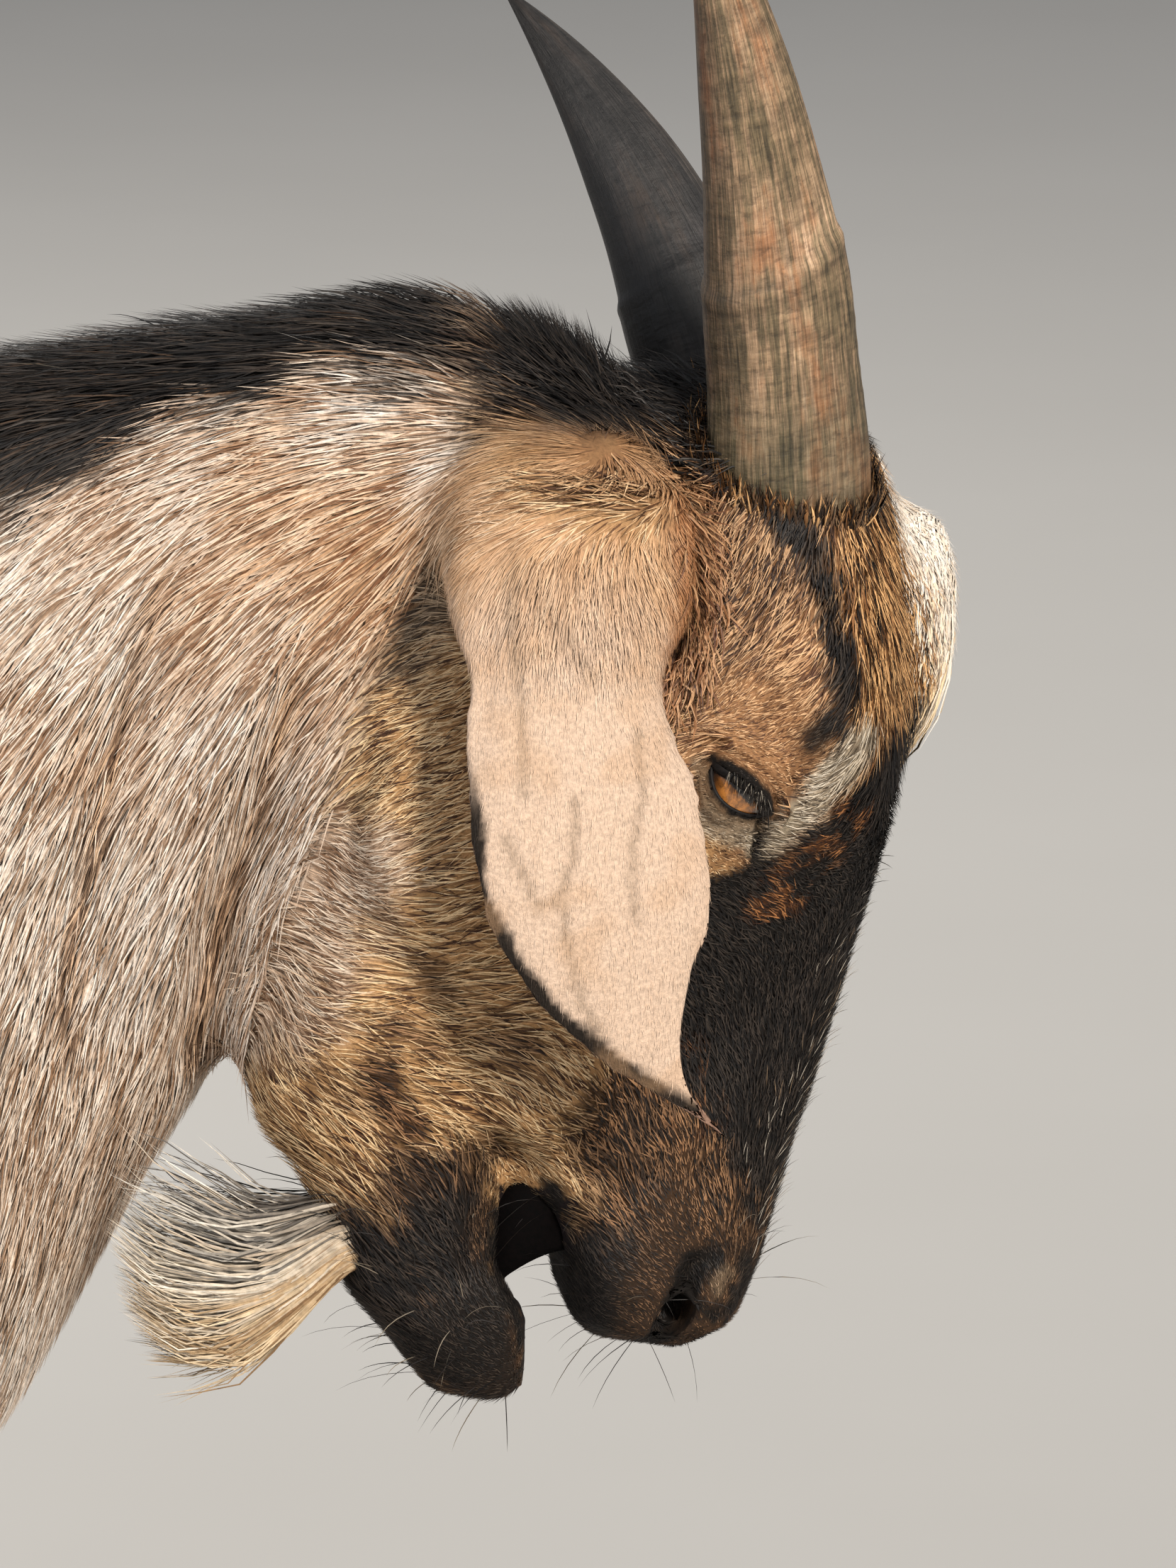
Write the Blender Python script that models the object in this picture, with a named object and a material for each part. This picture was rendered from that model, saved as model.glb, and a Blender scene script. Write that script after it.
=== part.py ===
"""A life-size standing goat with its head lowered to browse, as a still museum model.

Row frame: metres, +Z up, the goat faces +X, its left side is +Y, and the hooves stand on Z = 0.
The flesh is modelled whole from lofts and rounded masses, and then parted with thin cuts.
"""

from collections import namedtuple
from math import cos, pi, radians, sin

import bmesh
import bpy
from mathutils import Euler, Matrix, Vector

# Driving dimensions of the animal.
WITHERS_HEIGHT = 0.682
HEAD_LENGTH = 0.246
EAR_LENGTH = 0.168
TAIL_LENGTH = 0.135
EYE_RADIUS = 0.0135
HOOF_HEIGHT = 0.036
GAP = 0.0003  # clearance between neighbouring solids

# The pose of the head: its poll, and how far the muzzle points down, turns left and tilts.
POLL = Vector((0.360, 0.0, 0.672))
HEAD_PITCH = radians(97)
HEAD_YAW = radians(15)
HEAD_ROLL = radians(-6)

# How fine the flesh is: voxel sizes for blending, and faces that are left after thinning.
BODY_VOXEL = 0.0065
HEAD_VOXEL = 0.0032
BODY_FACES = 2250
HEAD_FACES = 2100

# A station is one cross-section: an upper (or front) and a lower (or back) point, half the width
# across them, how square its corners are (2 is an ellipse) and how far up its widest place sits.
Station = namedtuple("Station", "top bottom half_width corners level", defaults=(2.2, 0.0))

HEAD_PLACE = (
    Matrix.Translation(POLL)
    @ Matrix.Rotation(HEAD_YAW, 4, "Z")
    @ Matrix.Rotation(HEAD_ROLL, 4, "X")
    @ Matrix.Rotation(HEAD_PITCH, 4, "Y")
)


def clear_scene():
    for leftover in list(bpy.data.objects):
        bpy.data.objects.remove(leftover)


# ---------------------------------------------------------------- materials
def make_material(name, colour, roughness):
    material = bpy.data.materials.new(name)
    material.use_nodes = True
    shader = material.node_tree.nodes["Principled BSDF"]
    shader.inputs["Base Color"].default_value = (*colour, 1.0)
    shader.inputs["Roughness"].default_value = roughness
    return material


def make_materials():
    return {
        "coat": make_material("coat", (0.48, 0.33, 0.21), 0.75),
        "face": make_material("face_coat", (0.24, 0.14, 0.07), 0.75),
        "ear": make_material("ear_skin", (0.62, 0.45, 0.30), 0.7),
        "horn": make_material("horn", (0.26, 0.20, 0.13), 0.5),
        "eye": make_material("eye", (0.35, 0.17, 0.04), 0.12),
        "hoof": make_material("hoof", (0.07, 0.055, 0.045), 0.5),
        "beard": make_material("beard_hair", (0.66, 0.52, 0.36), 0.6),
    }


# ---------------------------------------------------------------- modelling tools
def spline(values, t):
    """A smooth curve through evenly keyed numbers or vectors, read at t from 0 to len(values) - 1."""
    last = len(values) - 1
    i = min(int(t), last - 1)
    f = t - i
    before, after = values[max(i - 1, 0)], values[min(i + 2, last)]
    a, b = values[i], values[i + 1]
    slope_a, slope_b = (b - before) * 0.5, (after - a) * 0.5
    return (
        a * (2 * f**3 - 3 * f**2 + 1)
        + slope_a * (f**3 - 2 * f**2 + f)
        + b * (3 * f**2 - 2 * f**3)
        + slope_b * (f**3 - f**2)
    )


def power(value, exponent):
    return abs(value) ** exponent * (1 if value >= 0 else -1)


def new_object(name, bm):
    bmesh.ops.recalc_face_normals(bm, faces=bm.faces)
    if bm.calc_volume(signed=True) < 0:
        bmesh.ops.reverse_faces(bm, faces=bm.faces)
    mesh = bpy.data.meshes.new(name)
    bm.to_mesh(mesh)
    bm.free()
    obj = bpy.data.objects.new(name, mesh)
    bpy.context.scene.collection.objects.link(obj)
    return obj


def skin_rings(bm, rings):
    """Bridges closed rings of vertices in turn and caps both ends."""
    loops = []
    for ring in rings:
        loops.append([bm.edges.new((a, b)) for a, b in zip(ring, ring[1:] + ring[:1])])
    for first, second in zip(loops, loops[1:]):
        bmesh.ops.bridge_loops(bm, edges=first + second)
    for loop in (loops[0], loops[-1]):
        bmesh.ops.contextual_create(bm, geom=loop)


def circle_of(bm, count):
    """A ring of vertices to shape, as a circle's edges would only be in the way."""
    made = bmesh.ops.create_circle(bm, cap_ends=False, radius=1.0, segments=count)["verts"]
    for edge in {e for v in made for e in v.link_edges}:
        bm.edges.remove(edge)
    return made


def loft(name, stations, steps=4, sides=24, place=None):
    """A closed body through the stations, rounded smoothly between them."""
    bm = bmesh.new()
    last = len(stations) - 1
    tops = [Vector(s.top) for s in stations]
    bottoms = [Vector(s.bottom) for s in stations]
    keys = [i / steps for i in range(last * steps + 1)]
    centres = [(spline(tops, t) + spline(bottoms, t)) / 2 for t in keys]
    rings = []
    for i, t in enumerate(keys):
        up = (spline(tops, t) - spline(bottoms, t)) / 2
        along = centres[min(i + 1, len(keys) - 1)] - centres[max(i - 1, 0)]
        across = up.cross(along).normalized() * spline([s.half_width for s in stations], t)
        exponent = 2 / spline([s.corners for s in stations], t)
        level = spline([s.level for s in stations], t)
        ring = circle_of(bm, sides)
        for k, vertex in enumerate(ring):
            turn = 2 * pi * k / sides
            c, s = power(cos(turn), exponent), power(sin(turn), exponent)
            vertex.co = centres[i] + up * (c + level * s * s * (1 - c * c)) + across * s
        rings.append(ring)
    skin_rings(bm, rings)
    obj = new_object(name, bm)
    if place is not None:
        obj.data.transform(place)
    return obj


def mass(name, centre, radii, turn=(0, 0, 0), place=None):
    """A rounded mass, such as a muscle: an ellipsoid that later blends into its neighbours."""
    bm = bmesh.new()
    bmesh.ops.create_uvsphere(bm, u_segments=20, v_segments=12, radius=1.0)
    shape = Matrix.Translation(centre) @ Euler([radians(a) for a in turn]).to_matrix().to_4x4()
    bm.transform(shape @ Matrix.Diagonal((*radii, 1.0)))
    obj = new_object(name, bm)
    if place is not None:
        obj.data.transform(place)
    return obj


def both_sides(maker, name, centre, radii, turn=(0, 0, 0), place=None):
    """The mass and its mirror image across the body's middle plane."""
    x, y, z = centre
    tilt, pitch, yaw = turn
    return [
        maker(name + "_left", (x, y, z), radii, turn, place),
        maker(name + "_right", (x, -y, z), radii, (-tilt, pitch, -yaw), place),
    ]


def box(name, centre, size, turn=(0, 0, 0)):
    bm = bmesh.new()
    bmesh.ops.create_cube(bm, size=1.0)
    shape = Matrix.Translation(centre) @ Euler([radians(a) for a in turn]).to_matrix().to_4x4()
    bm.transform(shape @ Matrix.Diagonal((*size, 1.0)))
    return new_object(name, bm)


def settled(obj):
    """Bakes an object's modifiers into its mesh."""
    graph = bpy.context.evaluated_depsgraph_get()
    mesh = bpy.data.meshes.new_from_object(obj.evaluated_get(graph))
    obj.modifiers.clear()
    obj.data = mesh
    return obj


def join(name, objects):
    bm = bmesh.new()
    for obj in objects:
        bm.from_mesh(obj.data)
        bpy.data.objects.remove(obj)
    mesh = bpy.data.meshes.new(name)
    bm.to_mesh(mesh)
    bm.free()
    joined = bpy.data.objects.new(name, mesh)
    bpy.context.scene.collection.objects.link(joined)
    return joined


def blended(obj, voxel, smoothing, faces):
    """Melts overlapping bodies into one skin, rounds their joins and thins the faces."""
    remesh = obj.modifiers.new("blend", "REMESH")
    remesh.mode = "VOXEL"
    remesh.voxel_size = voxel
    smooth = obj.modifiers.new("round", "SMOOTH")
    smooth.factor = 0.5
    smooth.iterations = smoothing
    settled(obj)
    thin = obj.modifiers.new("thin", "DECIMATE")
    thin.ratio = faces / (2 * len(obj.data.polygons))
    thin.use_collapse_triangulate = True
    return settled(obj)


def combine(obj, other, operation):
    boolean = obj.modifiers.new(operation.lower(), "BOOLEAN")
    boolean.operation = operation
    boolean.solver = "EXACT"
    boolean.use_self = True
    boolean.object = other
    settled(obj)
    bpy.data.objects.remove(other)
    return obj


def swollen(obj, amount):
    """A copy that stands out by the clearance, to cut a neighbour with."""
    copy = bpy.data.objects.new(obj.name + "_swollen", obj.data.copy())
    bpy.context.scene.collection.objects.link(copy)
    displace = copy.modifiers.new("clearance", "DISPLACE")
    displace.strength = amount
    displace.mid_level = 0.0
    return settled(copy)


def islands(mesh):
    """The separate bodies of a mesh, each as a list of face indices."""
    bm = bmesh.new()
    bm.from_mesh(mesh)
    bm.faces.ensure_lookup_table()
    unseen = set(range(len(bm.faces)))
    found = []
    while unseen:
        queue = [unseen.pop()]
        group = list(queue)
        while queue:
            for edge in bm.faces[queue.pop()].edges:
                for face in edge.link_faces:
                    if face.index in unseen:
                        unseen.discard(face.index)
                        queue.append(face.index)
                        group.append(face.index)
        found.append(group)
    bm.free()
    return found


def parted(obj, labels):
    """Splits an object at its cuts and names each body after the nearest label point."""
    pieces = {}
    for group in islands(obj.data):
        if len(group) < 12:
            continue
        bm = bmesh.new()
        bm.from_mesh(obj.data)
        bm.faces.ensure_lookup_table()
        keep = set(group)
        bmesh.ops.delete(bm, geom=[f for f in bm.faces if f.index not in keep], context="FACES")
        corners = [[f(v.co[i] for v in bm.verts) for i in range(3)] for f in (min, max)]
        centre = (Vector(corners[0]) + Vector(corners[1])) / 2
        name = min(labels, key=lambda label: (Vector(labels[label]) - centre).length)
        pieces[name] = new_object(name, bm)
    bpy.data.objects.remove(obj)
    return pieces


# ---------------------------------------------------------------- trunk and neck
def trunk_bodies():
    trunk = loft(
        "trunk_form",
        [
            Station((-0.502, 0, 0.618), (-0.500, 0, 0.566), 0.030),
            Station((-0.470, 0, 0.652), (-0.486, 0, 0.500), 0.066),
            Station((-0.400, 0, 0.684), (-0.415, 0, 0.432), 0.090, 2.3),
            Station((-0.310, 0, 0.699), (-0.305, 0, 0.390), 0.101, 2.4),
            Station((-0.205, 0, 0.688), (-0.185, 0, 0.356), 0.117, 2.3),
            Station((-0.100, 0, 0.678), (-0.075, 0, 0.334), 0.132, 2.2, -0.12),
            Station((-0.010, 0, 0.677), (0.018, 0, 0.334), 0.125, 2.2, -0.10),
            Station((0.060, 0, WITHERS_HEIGHT), (0.085, 0, 0.345), 0.104, 2.1, -0.05),
            Station((0.110, 0, 0.681), (0.140, 0, 0.362), 0.086),
        ],
    )
    neck = loft(
        "neck_form",
        [
            Station((0.060, 0, 0.676), (0.115, 0, 0.356), 0.084),
            Station((0.125, 0, 0.685), (0.170, 0, 0.384), 0.080),
            Station((0.183, 0, 0.692), (0.200, -0.001, 0.432), 0.068, 2.1),
            Station((0.238, 0, 0.703), (0.224, -0.004, 0.477), 0.060, 2.1),
            Station((0.290, 0, 0.710), (0.250, -0.010, 0.512), 0.056),
            Station((0.326, 0, 0.702), (0.292, -0.014, 0.530), 0.053),
            Station((0.346, 0, 0.688), (0.330, -0.010, 0.555), 0.044),
        ],
    )
    masses = (
        both_sides(mass, "shoulder", (0.095, 0.068, 0.520), (0.070, 0.036, 0.125), (0, 12, 0))
        + both_sides(mass, "shoulder_point", (0.145, 0.058, 0.470), (0.035, 0.030, 0.040))
        + both_sides(mass, "haunch", (-0.380, 0.057, 0.555), (0.100, 0.044, 0.118), (0, -14, 0))
        + both_sides(mass, "hip_bone", (-0.312, 0.068, 0.652), (0.056, 0.028, 0.036))
        + both_sides(mass, "pin_bone", (-0.478, 0.034, 0.612), (0.026, 0.020, 0.024))
        + both_sides(mass, "flank_fold", (-0.225, 0.080, 0.430), (0.040, 0.024, 0.060), (0, 20, 0))
        + [mass("brisket", (0.112, 0, 0.412), (0.066, 0.056, 0.068))]
    )
    return [trunk, neck] + masses


# ---------------------------------------------------------------- legs
# Each row: height of the front point, its x, height of the back point, its x, half width, y.
FORELEG = (
    (0.560, 0.150, 0.560, -0.010, 0.030, 0.066),
    (0.500, 0.166, 0.500, -0.006, 0.035, 0.070),
    (0.450, 0.156, 0.450, -0.002, 0.037, 0.076),
    (0.408, 0.128, 0.412, 0.004, 0.034, 0.078),
    (0.360, 0.107, 0.362, 0.030, 0.029, 0.077),
    (0.310, 0.099, 0.312, 0.045, 0.0245, 0.075),
    (0.272, 0.097, 0.272, 0.052, 0.0215, 0.074),
    (0.240, 0.102, 0.240, 0.052, 0.0220, 0.073),
    (0.214, 0.097, 0.214, 0.055, 0.0190, 0.073),
    (0.170, 0.090, 0.170, 0.058, 0.0148, 0.073),
    (0.120, 0.089, 0.118, 0.056, 0.0148, 0.072),
    (0.088, 0.095, 0.082, 0.050, 0.0180, 0.072),
    (0.064, 0.102, 0.056, 0.061, 0.0160, 0.072),
    (0.042, 0.112, 0.034, 0.062, 0.0195, 0.072),
    (0.022, 0.119, 0.014, 0.066, 0.0200, 0.072),
)
HINDLEG = (
    (0.620, -0.285, 0.635, -0.465, 0.040, 0.052),
    (0.550, -0.245, 0.560, -0.494, 0.046, 0.058),
    (0.480, -0.218, 0.500, -0.489, 0.048, 0.066),
    (0.425, -0.210, 0.438, -0.470, 0.044, 0.074),
    (0.375, -0.232, 0.388, -0.444, 0.036, 0.078),
    (0.334, -0.282, 0.352, -0.424, 0.028, 0.079),
    (0.300, -0.330, 0.320, -0.430, 0.0225, 0.078),
    (0.262, -0.364, 0.287, -0.450, 0.0220, 0.076),
    (0.226, -0.380, 0.234, -0.436, 0.0195, 0.075),
    (0.170, -0.383, 0.170, -0.419, 0.0152, 0.074),
    (0.120, -0.380, 0.118, -0.416, 0.0152, 0.073),
    (0.088, -0.371, 0.080, -0.417, 0.0185, 0.073),
    (0.064, -0.361, 0.054, -0.404, 0.0165, 0.073),
    (0.042, -0.348, 0.034, -0.400, 0.0200, 0.073),
    (0.022, -0.340, 0.014, -0.396, 0.0205, 0.073),
)
STRIDE_FROM = 0.45  # the height above which a step forward or back no longer moves the leg
# name: (rows, side, stride), where side is +1 on the left and stride is how far the foot is ahead.
LEGS = {
    "foreleg_right": (FORELEG, -1, 0.022),
    "foreleg_left": (FORELEG, 1, -0.020),
    "hindleg_right": (HINDLEG, -1, -0.026),
    "hindleg_left": (HINDLEG, 1, 0.030),
}


def stride_at(height, stride):
    return stride * max(0.0, 1 - height / STRIDE_FROM)


def leg_form(name, rows, side, stride):
    stations = []
    for front_z, front_x, back_z, back_x, half_width, y in rows:
        front = (front_x + stride_at(front_z, stride), side * y, front_z)
        back = (back_x + stride_at(back_z, stride), side * y, back_z)
        stations.append(Station(front, back, half_width, 2.3))
    return loft(name + "_form", stations, steps=3, sides=18)


def foot_centre(leg):
    """Middle of the coronet band, where the hoof begins."""
    rows, side, stride = LEGS[leg]
    front_z, front_x, back_z, back_x, half_width, y = rows[-2]
    return Vector(((front_x + back_x) / 2 + stride_at(front_z, stride), side * y, HOOF_HEIGHT))


def make_claws(leg):
    """Two claws with flat soles and a cleft between them, and two dewclaws behind the fetlock."""
    centre = foot_centre(leg)
    made = []
    for inner, label in ((-1, "inner"), (1, "outer")):
        y = centre.y + inner * 0.0112 * (1 if centre.y > 0 else -1)
        rows = (
            # height, toe x, heel x, half width, splay
            (0.0, 0.038, -0.023, 0.0105, 0.0016),
            (0.010, 0.036, -0.0245, 0.0108, 0.0012),
            (0.022, 0.030, -0.0245, 0.0104, 0.0004),
            (0.0, 0.0245, -0.0235, 0.0096, 0.0),
        )
        bm = bmesh.new()
        rings = []
        for i, (height, toe, heel, half_width, splay) in enumerate(rows):
            ring = circle_of(bm, 12)
            shift = inner * splay * (1 if centre.y > 0 else -1)
            for k, vertex in enumerate(ring):
                turn = 2 * pi * k / 12
                along = cos(turn)
                x = centre.x + (toe + heel) / 2 + (toe - heel) / 2 * along
                narrowing = 1 - 0.30 * max(0.0, along) ** 2
                across = power(sin(turn), 0.75) * half_width * narrowing
                z = height
                if i == len(rows) - 1:
                    z = coronet_height(x - centre.x) - GAP
                vertex.co = (x, y + shift + across, z)
            rings.append(ring)
        skin_rings(bm, rings)
        made.append(new_object(f"hoof_{leg}_{label}", bm))
    return made


CORONET_SLOPE = 0.22  # the coronet band drops towards the heel


def coronet_height(x):
    return HOOF_HEIGHT + CORONET_SLOPE * x


def below_coronets():
    """Slanted blocks that take off the flesh below every coronet band."""
    depth = 0.06
    tilt = -12.4
    blocks = []
    for leg in LEGS:
        centre = foot_centre(leg)
        middle = centre + Vector((0, 0, -depth / 2))
        blocks.append(box("below_" + leg, middle, (0.16, 0.07, depth), (0, tilt, 0)))
    return join("below_coronets", blocks)


def make_dewclaws(leg):
    centre = foot_centre(leg)
    rows = LEGS[leg][0]
    back_x = rows[-4][3] + stride_at(0.08, LEGS[leg][2]) + 0.0095
    made = []
    for sign, label in ((-1, "a"), (1, "b")):
        bm = bmesh.new()
        bmesh.ops.create_cone(
            bm, cap_ends=True, segments=8, radius1=0.0062, radius2=0.0040, depth=0.014
        )
        bm.transform(
            Matrix.Translation((back_x - 0.0015, centre.y + sign * 0.0105, 0.072))
            @ Matrix.Rotation(radians(205), 4, "Y")
        )
        made.append(new_object(f"dewclaw_{leg}_{label}", bm))
    return made


# ---------------------------------------------------------------- head
def head_stations():
    """Rings of the skull, muzzle and jaw in the head's own frame: x to the muzzle, z to the brow."""
    skull = [
        Station((-0.012, 0, 0.034), (0.000, 0, -0.030), 0.022),
        Station((-0.003, 0, 0.049), (0.006, 0, -0.050), 0.034, 2.3),
        Station((0.014, 0, 0.0580), (0.020, 0, -0.066), 0.043, 2.5),
        Station((0.040, 0, 0.0635), (0.052, 0, -0.078), 0.048, 2.6, 0.25),
        Station((0.070, 0, 0.0670), (0.084, 0, -0.088), 0.050, 2.6, 0.35),
        Station((0.096, 0, 0.0662), (0.114, 0, -0.095), 0.048, 2.5, 0.30),
        Station((0.120, 0, 0.0622), (0.142, 0, -0.098), 0.043, 2.3, 0.10),
        Station((0.142, 0, 0.0572), (0.168, 0, -0.094), 0.036, 2.1),
        Station((0.160, 0, 0.0480), (0.186, 0, -0.080), 0.026, 2.0),
    ]
    muzzle = [
        Station((0.110, 0, 0.0630), (0.120, 0, -0.030), 0.034, 2.3, -0.25),
        Station((0.142, 0, 0.0590), (0.150, 0, -0.036), 0.032, 2.2, -0.25),
        Station((0.170, 0, 0.0533), (0.178, 0, -0.038), 0.029, 2.2, -0.30),
        Station((0.194, 0, 0.0470), (0.199, 0, -0.0310), 0.0265, 2.3, -0.20),
        Station((0.212, 0, 0.0430), (0.213, 0, -0.0160), 0.0265, 2.4, -0.15),
        Station((0.227, 0, 0.0395), (0.228, 0, -0.0100), 0.0262, 2.4, -0.15),
        Station((0.238, 0, 0.0330), (0.239, 0, -0.0070), 0.0235, 2.4, -0.10),
        Station((HEAD_LENGTH - 0.0020, 0, 0.0210), (HEAD_LENGTH - 0.0025, 0, -0.0005), 0.0155, 2.2),
    ]
    jaw = [
        Station((0.130, 0, -0.020), (0.140, 0, -0.096), 0.036, 2.1),
        Station((0.158, 0, -0.026), (0.170, 0, -0.100), 0.033, 2.1),
        Station((0.184, 0, -0.028), (0.190, 0, -0.095), 0.027, 2.1),
        Station((0.207, 0, -0.0315), (0.209, 0, -0.0815), 0.0235, 2.1),
        Station((0.226, 0, -0.0290), (0.229, 0, -0.0725), 0.0215, 2.2),
        Station((0.242, 0, -0.0225), (0.244, 0, -0.0600), 0.0200, 2.3),
        Station((0.255, 0, -0.0175), (0.257, 0, -0.0425), 0.0160, 2.2),
        Station((0.2618, 0, -0.0225), (0.2618, 0, -0.0330), 0.0070, 2.0),
    ]
    return {"skull": skull, "muzzle": muzzle, "jaw": jaw}


def head_bodies():
    bodies = [
        loft(name + "_form", rings, steps=4, sides=28, place=HEAD_PLACE)
        for name, rings in head_stations().items()
    ]
    paired = {
        # name: centre, radii, turn
        "brow": ((0.068, 0.041, 0.032), (0.030, 0.0155, 0.017), (0, -20, -6)),
        "brow_front": ((0.094, 0.036, 0.032), (0.020, 0.014, 0.015), (0, 10, 0)),
        "orbit": ((0.091, 0.039, 0.012), (0.022, 0.0145, 0.018), (0, 0, 0)),
        "cheekbone": ((0.118, 0.038, -0.004), (0.034, 0.011, 0.011), (0, 12, 8)),
        "masseter": ((0.110, 0.033, -0.048), (0.044, 0.017, 0.036), (0, -20, 0)),
        "cheek": ((0.160, 0.024, -0.022), (0.034, 0.013, 0.022), (0, 10, 0)),
        "ear_base": ((0.028, 0.042, -0.040), (0.032, 0.022, 0.036), (0, 0, 0)),
        "nostril_wing": ((0.226, 0.0195, 0.020), (0.015, 0.0075, 0.011), (0, -35, 0)),
        "upper_lip": ((0.224, 0.0175, 0.000), (0.019, 0.0095, 0.0110), (0, -24, 0)),
        "lower_lip": ((0.240, 0.0120, -0.033), (0.018, 0.0090, 0.011), (0, -20, 0)),
    }
    for name, (centre, radii, turn) in paired.items():
        bodies += both_sides(mass, name, centre, radii, turn, HEAD_PLACE)
    bodies += [
        mass("forelock", (0.053, 0, 0.0645), (0.037, 0.021, 0.0155), (0, 4, 0), HEAD_PLACE),
        mass("poll_tuft", (0.000, 0, 0.004), (0.016, 0.026, 0.030), (0, 0, 0), HEAD_PLACE),
        mass("chin", (0.247, 0, -0.036), (0.015, 0.015, 0.015), (0, 0, 0), HEAD_PLACE),
        mass("throat", (0.176, 0, -0.080), (0.026, 0.024, 0.021), (0, 0, 0), HEAD_PLACE),
    ]
    return bodies


EYE_SPOT = Vector((0.0905, 0.0405, 0.0105))  # in the head's frame, on the left side
LID_SPOT = Vector((0.0908, 0.0540, 0.0108))
NOSTRIL_SPOT = Vector((0.2335, 0.0205, 0.0145))


def mirrored(spot, side):
    return Vector((spot.x, spot.y * side, spot.z))


def make_eyes():
    eyes = []
    for side, label in ((-1, "right"), (1, "left")):
        centre = HEAD_PLACE @ mirrored(EYE_SPOT, side)
        bm = bmesh.new()
        bmesh.ops.create_uvsphere(bm, u_segments=14, v_segments=8, radius=EYE_RADIUS)
        turned = HEAD_PLACE.to_3x3().to_4x4() @ Matrix.Rotation(radians(90), 4, "X")
        bm.transform(Matrix.Translation(centre) @ turned)
        eyes.append(new_object("eye_" + label, bm))
    return eyes


def nostril_cutters():
    """Comma-shaped hollows: a wide one low in front and a narrow tail behind and above it."""
    cutters = []
    for side in (-1, 1):
        for back, up, radii in ((0, 0, (0.0062, 0.0075, 0.0036)), (-0.008, 0.0045, (0.0075, 0.006, 0.0022))):
            spot = mirrored(NOSTRIL_SPOT + Vector((back, 0, up)), side)
            cutters.append(mass("nostril", spot, radii, (0, 28, 0), HEAD_PLACE))
    return cutters


def eye_openings():
    """Slanting almonds between the lids that bare the front of each eyeball."""
    return [
        mass("lids", mirrored(LID_SPOT, side), (0.0104, 0.0085, 0.0062), (0, -49, 0), HEAD_PLACE)
        for side in (-1, 1)
    ]


# ---------------------------------------------------------------- horns
HORN_BASE = Vector((0.022, 0.0260, 0.0235))  # in the head's frame, on the left side
# side, length, taper power, backward sweep at the base and at the tip, outward lean at both (deg)
HORNS = {
    "horn_right": (-1, 0.178, 1.8, 10, 28, 13, 20),
    "horn_left": (1, 0.130, 1.9, 9, 45, 13, 20),
}
HORN_DEPTH, HORN_WIDTH = 0.0415, 0.0275


def make_horn(name):
    """Flattened rings along an arc that sweeps back and leans out, with a keel in front."""
    side, length, taper, sweep_0, sweep_1, lean_0, lean_1 = HORNS[name]
    count, sides = 10, 12
    bm = bmesh.new()
    rings = []
    place = mirrored(HORN_BASE, side)
    for i in range(count + 1):
        share = i / count
        sweep = radians(sweep_0 + (sweep_1 - sweep_0) * share)
        lean = radians(lean_0 + (lean_1 - lean_0) * share)
        along = Vector((-cos(sweep) * cos(lean), side * sin(lean), -sin(sweep) * cos(lean)))
        front = Vector((-sin(sweep), 0, cos(sweep)))
        across = along.cross(front).normalized()
        size = max(1 - share**taper, 0.02)
        swell = 1 + 0.018 * sin(2 * pi * share * 3.5) * (1 - share)
        ring = circle_of(bm, sides)
        for k, vertex in enumerate(ring):
            turn = 2 * pi * k / sides
            keel = cos(turn) * (1.0 + 0.10 * max(0.0, cos(turn)) ** 3)
            depth = HORN_DEPTH / 2 * size * swell * keel
            width = HORN_WIDTH / 2 * size * swell * sin(turn) * (1 - 0.12 * cos(turn))
            vertex.co = place + front * depth + across * width
        rings.append(ring)
        place = place + along * (length + HORN_BASE.x) / count
    skin_rings(bm, rings)
    horn = new_object(name, bm)
    horn.data.transform(HEAD_PLACE)
    return horn


# ---------------------------------------------------------------- ears
# Rows down the hanging ear, in the head's frame for the left side: rear edge (x, z), front edge
# (x, z), how far out it hangs, how deeply it is cupped and how thick it is.
EAR = (
    ((0.000, -0.064), (-0.010, -0.022), 0.046, 0.20, 0.0160),
    ((0.012, -0.077), (0.006, -0.012), 0.054, 0.20, 0.0260),
    ((0.028, -0.0820), (0.024, -0.006), 0.060, 0.16, 0.0300),
    ((0.043, -0.0825), (0.040, -0.006), 0.0635, 0.14, 0.0270),
    ((0.054, -0.0770), (0.053, -0.0100), 0.0670, 0.14, 0.0200),
    ((0.063, -0.0700), (0.063, -0.0145), 0.0700, 0.16, 0.0145),
    ((0.076, -0.0740), (0.075, -0.0095), 0.0740, 0.18, 0.0100),
    ((0.095, -0.0718), (0.092, -0.0052), 0.0775, 0.18, 0.0072),
    ((0.112, -0.0680), (0.107, -0.0033), 0.0790, 0.16, 0.0060),
    ((0.1265, -0.0610), (0.120, -0.0030), 0.0790, 0.14, 0.0055),
    ((0.1400, -0.0505), (0.1315, -0.0045), 0.0775, 0.13, 0.0050),
    ((0.1505, -0.0395), (0.1415, -0.0062), 0.0760, 0.12, 0.0048),
    ((0.1590, -0.0275), (0.1515, -0.0062), 0.0745, 0.10, 0.0045),
    ((0.1665, -0.0145), (0.1605, -0.0025), 0.0725, 0.08, 0.0040),
    ((0.1725, -0.0035), (0.1685, 0.0045), 0.0710, 0.05, 0.0035),
    ((0.1770, 0.0065), (0.1752, 0.0100), 0.0700, 0.00, 0.0025),
)


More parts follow.
